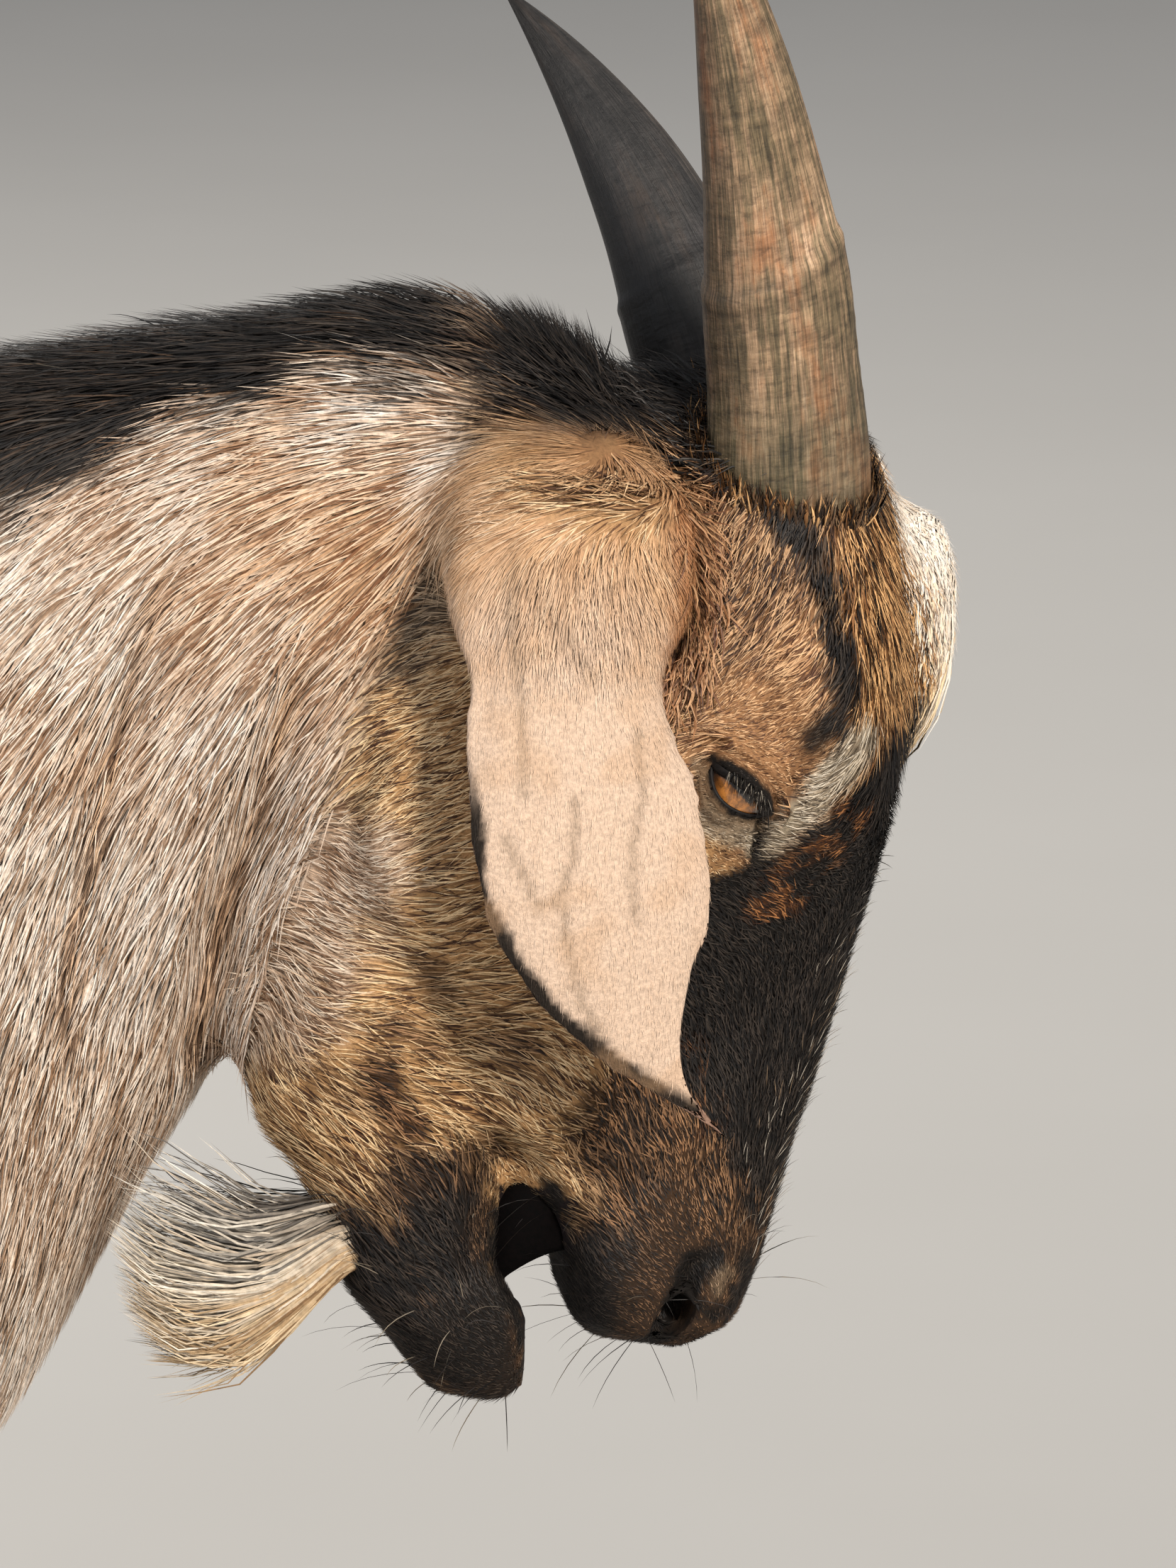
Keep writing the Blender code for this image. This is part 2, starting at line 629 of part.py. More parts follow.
def make_ear(name, side):
    """A hanging leaf: it starts as a thick bulb at the root and flattens to a blade below it."""
    steps, sides = 1, 12
    keys = [i / steps for i in range((len(EAR) - 1) * steps + 1)]
    rears = [Vector((row[0][0], side * row[2], row[0][1])) for row in EAR]
    fronts = [Vector((row[1][0], side * row[2], row[1][1])) for row in EAR]
    bm = bmesh.new()
    rings = []
    for t in keys:
        rear, front = spline(rears, t), spline(fronts, t)
        cup, thick = (spline([row[c] for row in EAR], t) for c in (3, 4))
        half = (front - rear) / 2
        ring = circle_of(bm, sides)
        for k, vertex in enumerate(ring):
            angle = 2 * pi * k / sides
            along = power(cos(angle), 0.8)
            rim = thick / 2 * (0.55 + 0.45 * (1 - along * along))
            bow = -cup * half.length * along * along
            out = side * (bow + power(sin(angle), 0.7) * rim)
            vertex.co = (rear + front) / 2 + half * along + Vector((0, out, 0))
        rings.append(ring)
    skin_rings(bm, rings)
    ear = new_object(name, bm)
    ear.data.transform(HEAD_PLACE)
    return ear


# ---------------------------------------------------------------- beard, tail and udder
def make_beard():
    """The beard hangs from the chin and is swept back towards the throat."""
    return loft(
        "beard",
        [
            Station((0.292, -0.0460, 0.4760), (0.294, -0.0460, 0.4520), 0.0120, 2.2),
            Station((0.272, -0.0455, 0.4725), (0.275, -0.0455, 0.4560), 0.0140, 2.2),
            Station((0.260, -0.0450, 0.4705), (0.262, -0.0450, 0.4500), 0.0150, 2.2),
            Station((0.248, -0.0440, 0.4680), (0.2485, -0.0440, 0.4440), 0.0160, 2.2),
            Station((0.235, -0.0420, 0.4640), (0.235, -0.0420, 0.4370), 0.0165, 2.2),
            Station((0.222, -0.0400, 0.4590), (0.224, -0.0400, 0.4340), 0.0150, 2.1),
            Station((0.213, -0.0380, 0.4520), (0.216, -0.0380, 0.4350), 0.0110, 2.0),
            Station((0.2075, -0.0370, 0.4455), (0.210, -0.0370, 0.4385), 0.0050, 2.0),
        ],
        steps=1,
        sides=12,
    )


def make_tail():
    drop = TAIL_LENGTH
    rows = (
        # back, down, half width, half thickness
        (0.000, 0.000, 0.026, 0.016),
        (0.030, 0.012, 0.027, 0.0155),
        (0.052, 0.30 * drop, 0.030, 0.0145),
        (0.060, 0.55 * drop, 0.030, 0.0130),
        (0.062, 0.80 * drop, 0.022, 0.0100),
        (0.062, 0.95 * drop, 0.010, 0.0060),
        (0.062, drop, 0.003, 0.0025),
    )
    root = Vector((-0.484, 0, 0.632))
    stations = []
    for i, (back, down, half_width, half_thick) in enumerate(rows):
        slope = min(1.0, i / 2)
        normal = Vector((-slope, 0, 1 - slope)).normalized() * half_thick
        middle = root + Vector((-back, 0, -down))
        stations.append(Station(tuple(middle + normal), tuple(middle - normal), half_width, 2.2))
    return loft("tail", stations, steps=1, sides=12)


def make_udder():
    bodies = both_sides(mass, "udder_half", (-0.262, 0.027, 0.383), (0.060, 0.036, 0.036))
    for side in (-1, 1):
        bodies.append(mass("teat", (-0.243, side * 0.034, 0.346), (0.009, 0.009, 0.022), (0, 14, 0)))
    return blended(join("udder", bodies), 0.004, 6, 300)


# ---------------------------------------------------------------- cuts
def body_cuts():
    """Thin slabs that part the trunk, neck, legs and shanks: centre, size and turn of each."""
    thin = GAP
    slabs = {
        "neck_base": ((0.148, 0, 0.530), (thin, 0.40, 0.44), (0, -14, 0)),
        "head_line": ((0.2800, 0, 0.6045), (thin, 0.34, 0.34), (0, 20.2, 0)),
    }
    for leg, (rows, side, stride) in LEGS.items():
        y = side * 0.085
        if rows is FORELEG:
            slabs[leg + "_top"] = ((0.070, y, 0.326), (0.16, 0.13, thin), (0, 0, 0))
            slabs[leg + "_knee"] = (
                (0.076 + stride_at(0.24, stride), y, 0.240), (0.09, 0.09, thin), (0, 0, 0)
            )
        else:
            slabs[leg + "_top"] = ((-0.340, y, 0.384), (0.34, 0.13, thin), (0, 15, 0))
            slabs[leg + "_hock"] = (
                (-0.405 + stride_at(0.27, stride), y, 0.2745), (0.15, 0.09, thin), (0, 16, 0)
            )
    return slabs


def cut_with(obj, names):
    slabs = body_cuts()
    for name in names:
        combine(obj, box(name, *slabs[name]), "DIFFERENCE")
    return obj


BODY_LABELS = {
    "trunk": (-0.15, 0, 0.52),
    "neck": (0.22, 0, 0.58),
    "head": (0.36, 0, 0.56),
    "foreleg_right": (0.07, -0.075, 0.32),
    "foreleg_left": (0.07, 0.075, 0.32),
    "shank_foreleg_right": (0.09, -0.075, 0.13),
    "shank_foreleg_left": (0.06, 0.075, 0.13),
    "hindleg_right": (-0.35, -0.075, 0.35),
    "hindleg_left": (-0.33, 0.075, 0.35),
    "shank_hindleg_right": (-0.42, -0.075, 0.15),
    "shank_hindleg_left": (-0.38, 0.075, 0.15),
}


def make_flesh():
    """The whole skin is blended once for the body and once, finer, for the head."""
    legs = [leg_form(name, *LEGS[name]) for name in LEGS]
    bodies = trunk_bodies() + legs + head_bodies()
    body = blended(join("body_form", bodies), BODY_VOXEL, 9, BODY_FACES)
    combine(body, below_coronets(), "DIFFERENCE")
    cut_with(body, list(body_cuts()))
    parts = parted(body, BODY_LABELS)
    bpy.data.objects.remove(parts.pop("head"))

    bodies = trunk_bodies() + head_bodies()
    head = blended(join("head_form", bodies), HEAD_VOXEL, 5, HEAD_FACES)
    for cutter in nostril_cutters() + eye_openings():
        combine(head, cutter, "DIFFERENCE")
    cut_with(head, ["head_line"])
    halves = parted(head, {"head": BODY_LABELS["head"], "rest": BODY_LABELS["trunk"]})
    bpy.data.objects.remove(halves["rest"])
    parts["head"] = halves["head"]
    return parts


def clear_of(obj, other, clearance=GAP):
    """Takes the other body, standing out by the clearance, away from this one."""
    combine(obj, swollen(other, clearance), "DIFFERENCE")
    return biggest(obj)


def biggest(obj):
    """Keeps only the largest body of a mesh that a cut has left in several."""
    groups = sorted(islands(obj.data), key=len)
    if len(groups) > 1:
        bm = bmesh.new()
        bm.from_mesh(obj.data)
        bm.faces.ensure_lookup_table()
        keep = set(groups[-1])
        bmesh.ops.delete(bm, geom=[f for f in bm.faces if f.index not in keep], context="FACES")
        bm.to_mesh(obj.data)
        bm.free()
    return obj


def stand_at_origin(objects):
    """Puts the middle of the whole animal's box, on the floor, at the origin."""
    corners = [obj.matrix_world @ v.co for obj in objects for v in obj.data.vertices]
    low = Vector([min(c[i] for c in corners) for i in range(3)])
    high = Vector([max(c[i] for c in corners) for i in range(3)])
    shift = Vector((-(low.x + high.x) / 2, -(low.y + high.y) / 2, -low.z))
    for obj in objects:
        obj.data.transform(Matrix.Translation(shift))


def main():
    clear_scene()
    materials = make_materials()
    parts = make_flesh()
    head = parts["head"]
    eyes = make_eyes()
    for eye in eyes:
        clear_of(head, eye)
    ears = [make_ear("ear_right", -1), make_ear("ear_left", 1)]
    horns = [make_horn(name) for name in HORNS]
    attached = {"ear": ears, "horn": horns, "beard": [make_beard()]}
    for group in attached.values():
        for obj in group:
            clear_of(obj, head)
            clear_of(obj, parts["neck"])
    tail = clear_of(make_tail(), parts["trunk"])
    udder = make_udder()
    for name in ("trunk", "hindleg_right", "hindleg_left"):
        clear_of(udder, parts[name])
    hooves = [hoof for leg in LEGS for hoof in make_claws(leg)]
    for leg in LEGS:
        for dewclaw in make_dewclaws(leg):
            hooves.append(clear_of(dewclaw, parts["shank_" + leg]))

    coated = list(parts.values()) + [tail, udder]
    for obj in coated:
        obj.data.materials.append(materials["face" if obj is head else "coat"])
    for slot, group in {**attached, "eye": eyes, "hoof": hooves}.items():
        for obj in group:
            obj.data.materials.clear()
            obj.data.materials.append(materials[slot])
            coated.append(obj)
    stand_at_origin(coated)


main()
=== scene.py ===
from math import cos, pi, radians, sin

import bmesh
import bpy
import numpy as np
from mathutils import Matrix, Vector
from mathutils.bvhtree import BVHTree


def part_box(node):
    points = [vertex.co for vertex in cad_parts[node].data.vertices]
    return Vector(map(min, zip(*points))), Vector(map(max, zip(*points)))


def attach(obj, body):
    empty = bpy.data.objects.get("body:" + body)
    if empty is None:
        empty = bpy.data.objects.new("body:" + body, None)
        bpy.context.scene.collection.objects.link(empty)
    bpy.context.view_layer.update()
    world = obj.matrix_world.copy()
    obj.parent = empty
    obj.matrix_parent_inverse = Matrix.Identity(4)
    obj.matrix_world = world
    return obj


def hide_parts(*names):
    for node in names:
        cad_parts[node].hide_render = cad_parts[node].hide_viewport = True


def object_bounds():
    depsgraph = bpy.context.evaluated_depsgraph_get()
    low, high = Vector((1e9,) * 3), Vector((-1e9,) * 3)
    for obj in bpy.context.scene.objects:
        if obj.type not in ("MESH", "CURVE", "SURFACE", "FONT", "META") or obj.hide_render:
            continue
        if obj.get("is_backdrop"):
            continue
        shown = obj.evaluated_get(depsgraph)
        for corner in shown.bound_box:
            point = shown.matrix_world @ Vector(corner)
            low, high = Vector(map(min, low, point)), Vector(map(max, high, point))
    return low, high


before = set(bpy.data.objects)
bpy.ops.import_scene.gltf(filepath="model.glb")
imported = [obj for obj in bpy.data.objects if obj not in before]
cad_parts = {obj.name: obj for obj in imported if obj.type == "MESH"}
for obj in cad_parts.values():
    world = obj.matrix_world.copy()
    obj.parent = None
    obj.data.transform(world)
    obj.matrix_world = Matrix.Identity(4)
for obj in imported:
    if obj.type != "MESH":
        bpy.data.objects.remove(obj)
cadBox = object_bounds()
dice = np.random.default_rng(7)

# Places. The head has its own frame: d runs down to the muzzle, s to the left, n up to the brow.
place = {"pitch": 97, "yaw": 15, "roll": -6, "eye": (0.0905, 0.0405, 0.0105), "poll": (0.360, 0.0, 0.672)}


def middleOf(node):
    low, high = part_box(node)
    return (low + high) / 2


headTurn = (
    Matrix.Rotation(radians(place["yaw"]), 3, "Z")
    @ Matrix.Rotation(radians(place["roll"]), 3, "X")
    @ Matrix.Rotation(radians(place["pitch"]), 3, "Y")
)
poll = (middleOf("eye_left") + middleOf("eye_right")) / 2 - headTurn @ Vector((place["eye"][0], 0, place["eye"][2]))
headAxes, headOrigin = np.array(headTurn), np.array(poll)
bodyOrigin = headOrigin - np.array(place["poll"])


def toHead(points):  # millimetres in the head's frame
    return (points - headOrigin) @ headAxes * 1000


def fromHead(spots):
    return np.asarray(spots, float) / 1000 @ headAxes.T + headOrigin


def toBody(points):  # millimetres along, across and up the body
    return (points - bodyOrigin) * 1000


def fromBody(spots):
    return np.asarray(spots, float) / 1000 + bodyOrigin


# small sums on arrays
def unit(vectors):
    return vectors / np.maximum(np.linalg.norm(vectors, axis=-1, keepdims=True), 1e-9)


def ease(value, low, high):
    t = np.clip((value - low) / (high - low), 0, 1)
    return t * t * (3 - 2 * t)


def fade(value, low, high):
    return 1 - ease(value, low, high)


def blend(first, second, share):
    return first + (second - first) * share


def bell(value, middle, width):
    return np.exp(-(((value - middle) / width) ** 2))


def wobble(points, size, seed, octaves=2):  # smooth unevenness from -1 to 1, as sums of slanting waves
    rng = np.random.default_rng(seed)
    total = np.zeros(len(points))
    for octave in range(octaves):
        for _ in range(7):
            direction = rng.normal(size=3)
            direction *= 2 * pi / size * 2**octave * rng.uniform(0.6, 1.4) / np.linalg.norm(direction)
            total += np.sin(points @ direction + rng.uniform(0, 2 * pi)) * 0.6**octave
    return np.clip(total / 4.2, -1, 1)


def farFrom(points, line):  # distance of flat points from a bent line, and how far along it they are
    line = np.asarray(line, float).reshape(-1, 2)
    if len(line) == 1:
        return np.linalg.norm(points - line[0], axis=1), np.zeros(len(points))
    best, along = np.full(len(points), 1e9), np.zeros(len(points))
    for i, (a, b) in enumerate(zip(line, line[1:])):
        t = np.clip(((points - a) @ (b - a)) / ((b - a) @ (b - a)), 0, 1)
        gap = np.linalg.norm(points - a - t[:, None] * (b - a), axis=1)
        closer = gap < best
        best, along = np.where(closer, gap, best), np.where(closer, (i + t) / (len(line) - 1), along)
    return best, along


def offLine(spots, line):
    return farFrom(spots[:, (0, 2)], line)[0]


# materials
class Wire:  # one output of a node, so that shader sums read as sums
    def __init__(self, finish, out):
        self.finish, self.out = finish, out

    def sum(self, operation, other):
        return self.finish.add("ShaderNodeMath", {"operation": operation}, {0: self, 1: other})

    def __add__(self, other):
        return self.sum("ADD", other)

    def __sub__(self, other):
        return self.sum("SUBTRACT", other)

    def __mul__(self, other):
        return self.sum("MULTIPLY", other)

    def __pow__(self, other):
        return self.sum("POWER", other)


class Finish:  # a material and its nodes
    def __init__(self, name, **constants):
        self.material = bpy.data.materials.new(name)
        self.material.use_nodes = True
        self.tree = self.material.node_tree
        self.shader = self.tree.nodes["Principled BSDF"]
        for key, value in constants.items():
            self.shader.inputs[key.replace("_", " ")].default_value = value

    def put(self, value, socket):
        if isinstance(value, Wire):
            self.tree.links.new(value.out, socket)
        else:
            socket.default_value = value

    def add(self, kind, settings=None, sockets=None, out=0):
        node = self.tree.nodes.new(kind)
        for key, value in (settings or {}).items():
            if key == "stops":
                while len(node.color_ramp.elements) < len(value):
                    node.color_ramp.elements.new(1.0)
                for element, (position, colour) in zip(node.color_ramp.elements, value):
                    element.position, element.color = position, (*colour, 1)
            else:
                setattr(node, key, value)
        for key, value in (sockets or {}).items():
            self.put(value, node.inputs[key])
        return Wire(self, node.outputs[out])

    def mix(self, share, first, second, way="MIX"):
        first, second = ((*c, 1) if isinstance(c, tuple) and len(c) == 3 else c for c in (first, second))
        settings = {"data_type": "RGBA", "blend_type": way}
        return self.add("ShaderNodeMix", settings, {0: share, 6: first, 7: second}, 2)

    def scaled(self, vector, by):
        return self.add("ShaderNodeVectorMath", {"operation": "MULTIPLY"}, {0: vector, 1: by})

    def noise(self, vector, scale, detail=3.0, roughness=0.55):
        return self.add(
            "ShaderNodeTexNoise", {}, {"Vector": vector, "Scale": scale, "Detail": detail, "Roughness": roughness}
        )

    def ramp(self, value, stops):
        return self.add("ShaderNodeValToRGB", {"stops": stops}, {0: value})

    # darkens and lightens a colour by a value's place between two stops
    def shaded(self, colour, value, dark, light):
        stops = [(dark[0], grey(dark[1])), (light[0], grey(light[1]))]
        return self.mix(1.0, colour, self.ramp(value, stops), "MULTIPLY")

    def attribute(self, name, out=0):
        return self.add("ShaderNodeAttribute", {"attribute_name": name}, {}, out)

    def places(self):
        return self.add("ShaderNodeTexCoord", {}, {}, 3)

    def finish(self, **wires):
        for key, value in wires.items():
            self.put(value, self.shader.inputs[key.replace("_", " ")])
        return self.material

    def bump(self, height, strength, distance):
        return self.add("ShaderNodeBump", {}, {"Strength": strength, "Distance": distance, "Height": height})


def grey(value):
    return (value, value, value)


def furFinish(name, roughness, fine, dark=0.74, light=1.18):  # coloured tufts, with thin dark and light hairs in each
    f = Finish(name, Roughness=roughness, Specular_IOR_Level=0.35)
    strands = f.noise(f.places(), fine, 2.0)
    return f.finish(Base_Color=f.shaded(f.attribute("coatColour"), strands, (0.30, dark), (0.70, light)))


def skinFinish():
    f = Finish("skinUnderCoat", Roughness=0.85, Specular_IOR_Level=0.2)
    spots = f.places()
    hairs = f.noise(spots, 900.0, 4.0, 0.7)
    patches = f.noise(spots, 120.0, 3.0)
    colour = f.shaded(f.attribute("coatColour"), hairs, (0.25, 0.62), (0.75, 1.22))
    normal = f.bump(hairs + patches * 0.5, 0.55, 0.0012)
    return f.finish(Base_Color=colour, Normal=normal)


def hornFinish(name, tones):  # fibres run along the horn, rings and stains go round it
    f = Finish(name, Specular_IOR_Level=0.45)
    grain = f.attribute("grain", 1)
    fibres = f.noise(f.scaled(grain, (1, 1, 0.045)), 700.0, 6.0, 0.75)
    fine = f.noise(f.scaled(grain, (1, 1, 0.06)), 1500.0, 3.0, 0.6)
    stains = f.noise(f.scaled(grain, (1, 1, 0.35)), 70.0, 5.0, 0.65)
    bands = f.noise(f.scaled(grain, (0.25, 0.25, 1)), 210.0, 4.0, 0.7)
    cracks = f.noise(f.scaled(grain, (0.5, 0.5, 1)), 520.0, 3.0, 0.6)
    colour = f.ramp(fibres * 0.55 + stains * 0.45, tones["wood"])
    colour = f.mix(f.ramp(stains, [(0.54, grey(0)), (0.66, grey(0.75))]), colour, tones["stain"])
    colour = f.shaded(colour, fine, (0.38, 0.66), (0.58, 1.12))
    colour = f.shaded(colour, bands, (0.36, 0.62), (0.62, 1.12))
    colour = f.shaded(colour, cracks, (0.34, 0.66), (0.46, 1.0))
    # multiplies in painted shade and painted highlights, with the horn's own greyer base
    colour = f.mix(1.0, colour, f.attribute("tint"), "MULTIPLY")
    normal = f.bump(fibres * 0.5 + fine * 0.3 + bands * 0.6 + cracks * 0.3, 0.8, 0.0009)
    return f.finish(Base_Color=colour, Roughness=fibres * 0.4 + 0.32, Normal=normal)


def hoofFinish():
    f = Finish("hoofHorn", Specular_IOR_Level=0.4)
    spots = f.places()
    rings = f.noise(f.scaled(spots, (0.3, 0.3, 6)), 60.0, 3.0)
    fibres = f.noise(f.scaled(spots, (8, 8, 0.4)), 90.0, 3.0)
    colour = f.ramp(
        rings * 0.5 + fibres * 0.5,
        [(0.3, (0.022, 0.017, 0.013)), (0.55, (0.06, 0.045, 0.034)), (0.75, (0.14, 0.105, 0.075))]
    )
    return f.finish(Base_Color=colour, Roughness=rings * 0.3 + 0.35, Normal=f.bump(rings + fibres * 0.5, 0.6, 0.0010))


def eyeFinish():
    f = Finish("amberEye", Coat_Roughness=0.02, Specular_IOR_Level=0.5)
    across = f.add("ShaderNodeSeparateXYZ", {}, {0: f.attribute("look", 1)})
    u, v = (Wire(f, across.out.node.outputs[i]) for i in range(2))
    far = (u * u + v * v) ** 0.5
    fibres = f.noise(f.scaled(f.attribute("look", 1), (1, 1, 0.2)), 7.0, 5.0, 0.75)
    ring = f.ramp(
        far + fibres * 0.10,
        [
            (0.12, (0.34, 0.125, 0.022)), (0.42, (0.42, 0.165, 0.035)), (0.50, (0.24, 0.085, 0.016)),
            (0.58, (0.06, 0.024, 0.008)), (0.66, (0.010, 0.007, 0.006))
        ]
    )
    ring = f.shaded(ring, fibres, (0.34, 0.35), (0.60, 1.25))
    ring = f.shaded(ring, v + u * -0.12 + 0.5, (0.40, 1), (0.56, 0.16))  # the lid's shade
    high = v - 0.045
    slit = f.add(
        "ShaderNodeMath", {"operation": "MAXIMUM"}, {0: (u * u) ** 0.5 * 0.45, 1: (high * high) ** 0.5 * 1.05}
    )
    pupil = f.ramp(slit + fibres * 0.03, [(0.135, grey(1)), (0.175, grey(0))])
    colour = f.mix(pupil, ring, (0.006, 0.005, 0.005))
    return f.finish(Base_Color=colour, Roughness=0.25, Coat_Weight=1.0)


def bareSkinFinish(name, dark, light, dullness, shine=0.4):
    f = Finish(name, Specular_IOR_Level=shine)
    grain = f.noise(f.places(), 700.0, 3.0)
    colour = f.ramp(grain, [(0.3, dark), (0.7, light)])
    return f.finish(Base_Color=colour, Roughness=grain * 0.3 + dullness, Normal=f.bump(grain, 0.3, 0.0004))


# meshes
def meshFrom(name, points, faces):
    mesh = bpy.data.meshes.new(name)
    mesh.vertices.add(len(points))
    mesh.vertices.foreach_set("co", np.asarray(points, np.float32).ravel())
    mesh.loops.add(faces.size)
    mesh.loops.foreach_set("vertex_index", np.asarray(faces, np.int32).ravel())
    mesh.polygons.add(len(faces))
    mesh.polygons.foreach_set("loop_start", np.arange(0, faces.size, faces.shape[1], dtype=np.int32))
    mesh.polygons.foreach_set("use_smooth", np.ones(len(faces), bool))
    mesh.update(calc_edges=True)
    return mesh


def meshOf(bm, name, smooth=False):
    mesh = bpy.data.meshes.new(name)
    bm.to_mesh(mesh)
    bm.free()
    if smooth:
        mesh.shade_smooth()
    return mesh


def faceOut(bm):
    bmesh.ops.recalc_face_normals(bm, faces=bm.faces)
    if bm.calc_volume(signed=True) < 0:
        bmesh.ops.reverse_faces(bm, faces=bm.faces)


def show(name, mesh, material, nodes=()):
    piece = bpy.data.objects.new(name, mesh)
    bpy.context.scene.collection.objects.link(piece)
    mesh.materials.clear()
    mesh.materials.append(material)
    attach(piece, "root")
    if nodes:
        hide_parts(*nodes)


def paint(mesh, name, colours):
    layer = mesh.attributes.new(name, "FLOAT_COLOR", "POINT")
    layer.data.foreach_set("color", np.hstack([colours, np.ones((len(colours), 1))]).astype(np.float32).ravel())


def note(mesh, name, vectors):
    mesh.attributes.new(name, "FLOAT_VECTOR", "POINT").data.foreach_set(
        "vector", np.asarray(vectors, np.float32).ravel()
    )


def unwrap(mesh, spots):
    ends = np.empty(len(mesh.loops), np.int32)
    mesh.loops.foreach_get("vertex_index", ends)
    mesh.uv_layers.new(name="OFBake").data.foreach_set("uv", spots[ends].astype(np.float32).ravel())


def loftRings(name, rings, closed=False):  # rings of points, each extruded from the one before
    bm = bmesh.new()
    fresh = bmesh.ops.create_circle(bm, cap_ends=not closed, radius=1.0, segments=len(rings[0]))["verts"]
    edges = list(bm.edges)
    for i, ring in enumerate(rings):
        if i:
            made = bmesh.ops.extrude_edge_only(bm, edges=edges)["geom"]
            fresh = [g for g in made if isinstance(g, bmesh.types.BMVert)]
            edges = [g for g in made if isinstance(g, bmesh.types.BMEdge) and all(v in fresh for v in g.verts)]
        for vertex, spot in zip(fresh, ring):
            vertex.co = spot
    if closed:
        bmesh.ops.bridge_loops(bm, edges=[e for e in bm.edges if len(e.link_faces) < 2])
    else:
        bmesh.ops.contextual_create(bm, geom=edges)
    faceOut(bm)
    return meshOf(bm, name, True)


print("stage: frame and materials ready")

# camera
view = {"tilt": 14, "distance": 3.2, "aside": -0.02414, "down": -0.09546, "lens": 281.51, "sensor": 36, "far": 60}
tilt = radians(view["tilt"])
forward, upward = Vector((0, cos(tilt), -sin(tilt))), Vector((0, sin(tilt), cos(tilt)))
target = poll + Vector((view["aside"], 0, 0)) + upward * view["down"]
lens = bpy.data.cameras.new("camera")
lens.lens, lens.sensor_width, lens.clip_end = view["lens"], view["sensor"], view["far"]
camera = bpy.data.objects.new("camera", lens)
bpy.context.scene.collection.objects.link(camera)
camera.location = target - forward * view["distance"]
camera.rotation_euler = (radians(90) - tilt, 0, 0)
bpy.context.scene.camera = camera

# skin: every node of flesh melted into one, then worked over
skin = {
    "voxel": 0.0023,  # how fine the first skin is
    "swell": 0.00035,  # closes the hairline cuts between the solids
    "bodyKeep": 0.30,  # share of all faces kept, thinned on the body only
    "eyeRadius": 13.5,
    "eyeTurn": (0.655, 0.755),  # the slit's direction, in d and n
    "lidThickness": 1.0,
    "rounds": 26,  # of evening, out and back, over all of the skin
    "evening": {"body": 0.5, "head": 0.30, "ear": 0.50, "back": 1.04},
    "rootRounds": 260,  # melts the root of each ear into the head and neck
    "bladeRounds": 26,  # evens the edge of each ear
    "lipRounds": 40,  # rounds the lower lip
}
fleshNodes = [
    "head", "neck", "trunk", "foreleg_left", "foreleg_right", "hindleg_left", "hindleg_right",
    "shank_foreleg_left", "shank_foreleg_right", "shank_hindleg_left", "shank_hindleg_right",
    "ear_left", "ear_right", "tail", "udder",
]
regionOf = {"head": 0, "ear": 1, "neck": 2, "trunk": 3, "tail": 5, "udder": 6}  # all else is leg, 4


def joinedFlesh():
    bm = bmesh.new()
    owner = []
    for node in fleshNodes:
        part = bmesh.new()
        part.from_mesh(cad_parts[node].data)
        bmesh.ops.remove_doubles(part, verts=part.verts, dist=2e-6)
        part.normal_update()
        for vertex in part.verts:
            vertex.co += vertex.normal * skin["swell"]
        bm.from_mesh(meshOf(part, node + "Copy"))
        owner += [regionOf.get(node.split("_")[0], 4)] * (len(bm.faces) - len(owner))
    tree = BVHTree.FromBMesh(bm)
    for side in (-1, 1):
        spot = fromHead([skinEye(side)])[0]
        bmesh.ops.create_icosphere(
            bm, subdivisions=4, radius=skin["eyeRadius"] / 1000, matrix=Matrix.Translation(spot)
        )
    return meshOf(bm, "flesh"), tree, np.array(owner)


def skinEye(side):
    d, s, n = (1000 * value for value in place["eye"])
    return np.array([d, side * s, n])


def settled(mesh, modifier, weights=None):  # the mesh as one modifier leaves it
    piece = bpy.data.objects.new("settling", mesh)
    bpy.context.scene.collection.objects.link(piece)
    if weights is not None:
        group = piece.vertex_groups.new(name="body")
        for level in np.unique(weights):
            group.add(np.flatnonzero(weights == level).tolist(), float(level), "REPLACE")
    kind, values = modifier
    added = piece.modifiers.new(kind.lower(), kind)
    for key, value in values.items():
        setattr(added, key, value)
    graph = bpy.context.evaluated_depsgraph_get()
    made = bpy.data.meshes.new_from_object(piece.evaluated_get(graph))
    bpy.data.objects.remove(piece)
    return made


def arraysOf(mesh):
    points = np.empty(len(mesh.vertices) * 3, np.float32)
    mesh.vertices.foreach_get("co", points)
    mesh.calc_loop_triangles()
    faces = np.empty(len(mesh.loop_triangles) * 3, np.int32)
    mesh.loop_triangles.foreach_get("vertices", faces)
    return points.reshape(-1, 3).astype(float), faces.reshape(-1, 3)


def edgesOf(faces):
    pairs = np.sort(np.vstack([faces[:, [0, 1]], faces[:, [1, 2]], faces[:, [2, 0]]]), axis=1)
    return np.unique(pairs, axis=0)


def spread(values, edges, rounds, share=0.5):  # averages each point with its neighbours
    a, b = edges.T
    count = np.bincount(edges.ravel(), minlength=len(values))[:, None]
    flat = values.reshape(len(values), -1).copy()
    size = len(flat)
    share = np.broadcast_to(np.asarray(share, float).reshape(-1, 1), (size, 1))
    for _ in range(rounds):
        sums = [np.bincount(a, column[b], size) + np.bincount(b, column[a], size) for column in flat.T]
        flat += (np.stack(sums, axis=1) / np.maximum(count, 1) - flat) * share
    return flat.reshape(values.shape)


def normalsOf(points, faces):
    corners = points[faces]
    flat = np.cross(corners[:, 1] - corners[:, 0], corners[:, 2] - corners[:, 0])
    total = np.zeros_like(points)
    for i in range(3):
        for axis in range(3):
            total[:, axis] += np.bincount(faces[:, i], flat[:, axis], len(points))
    return unit(total)


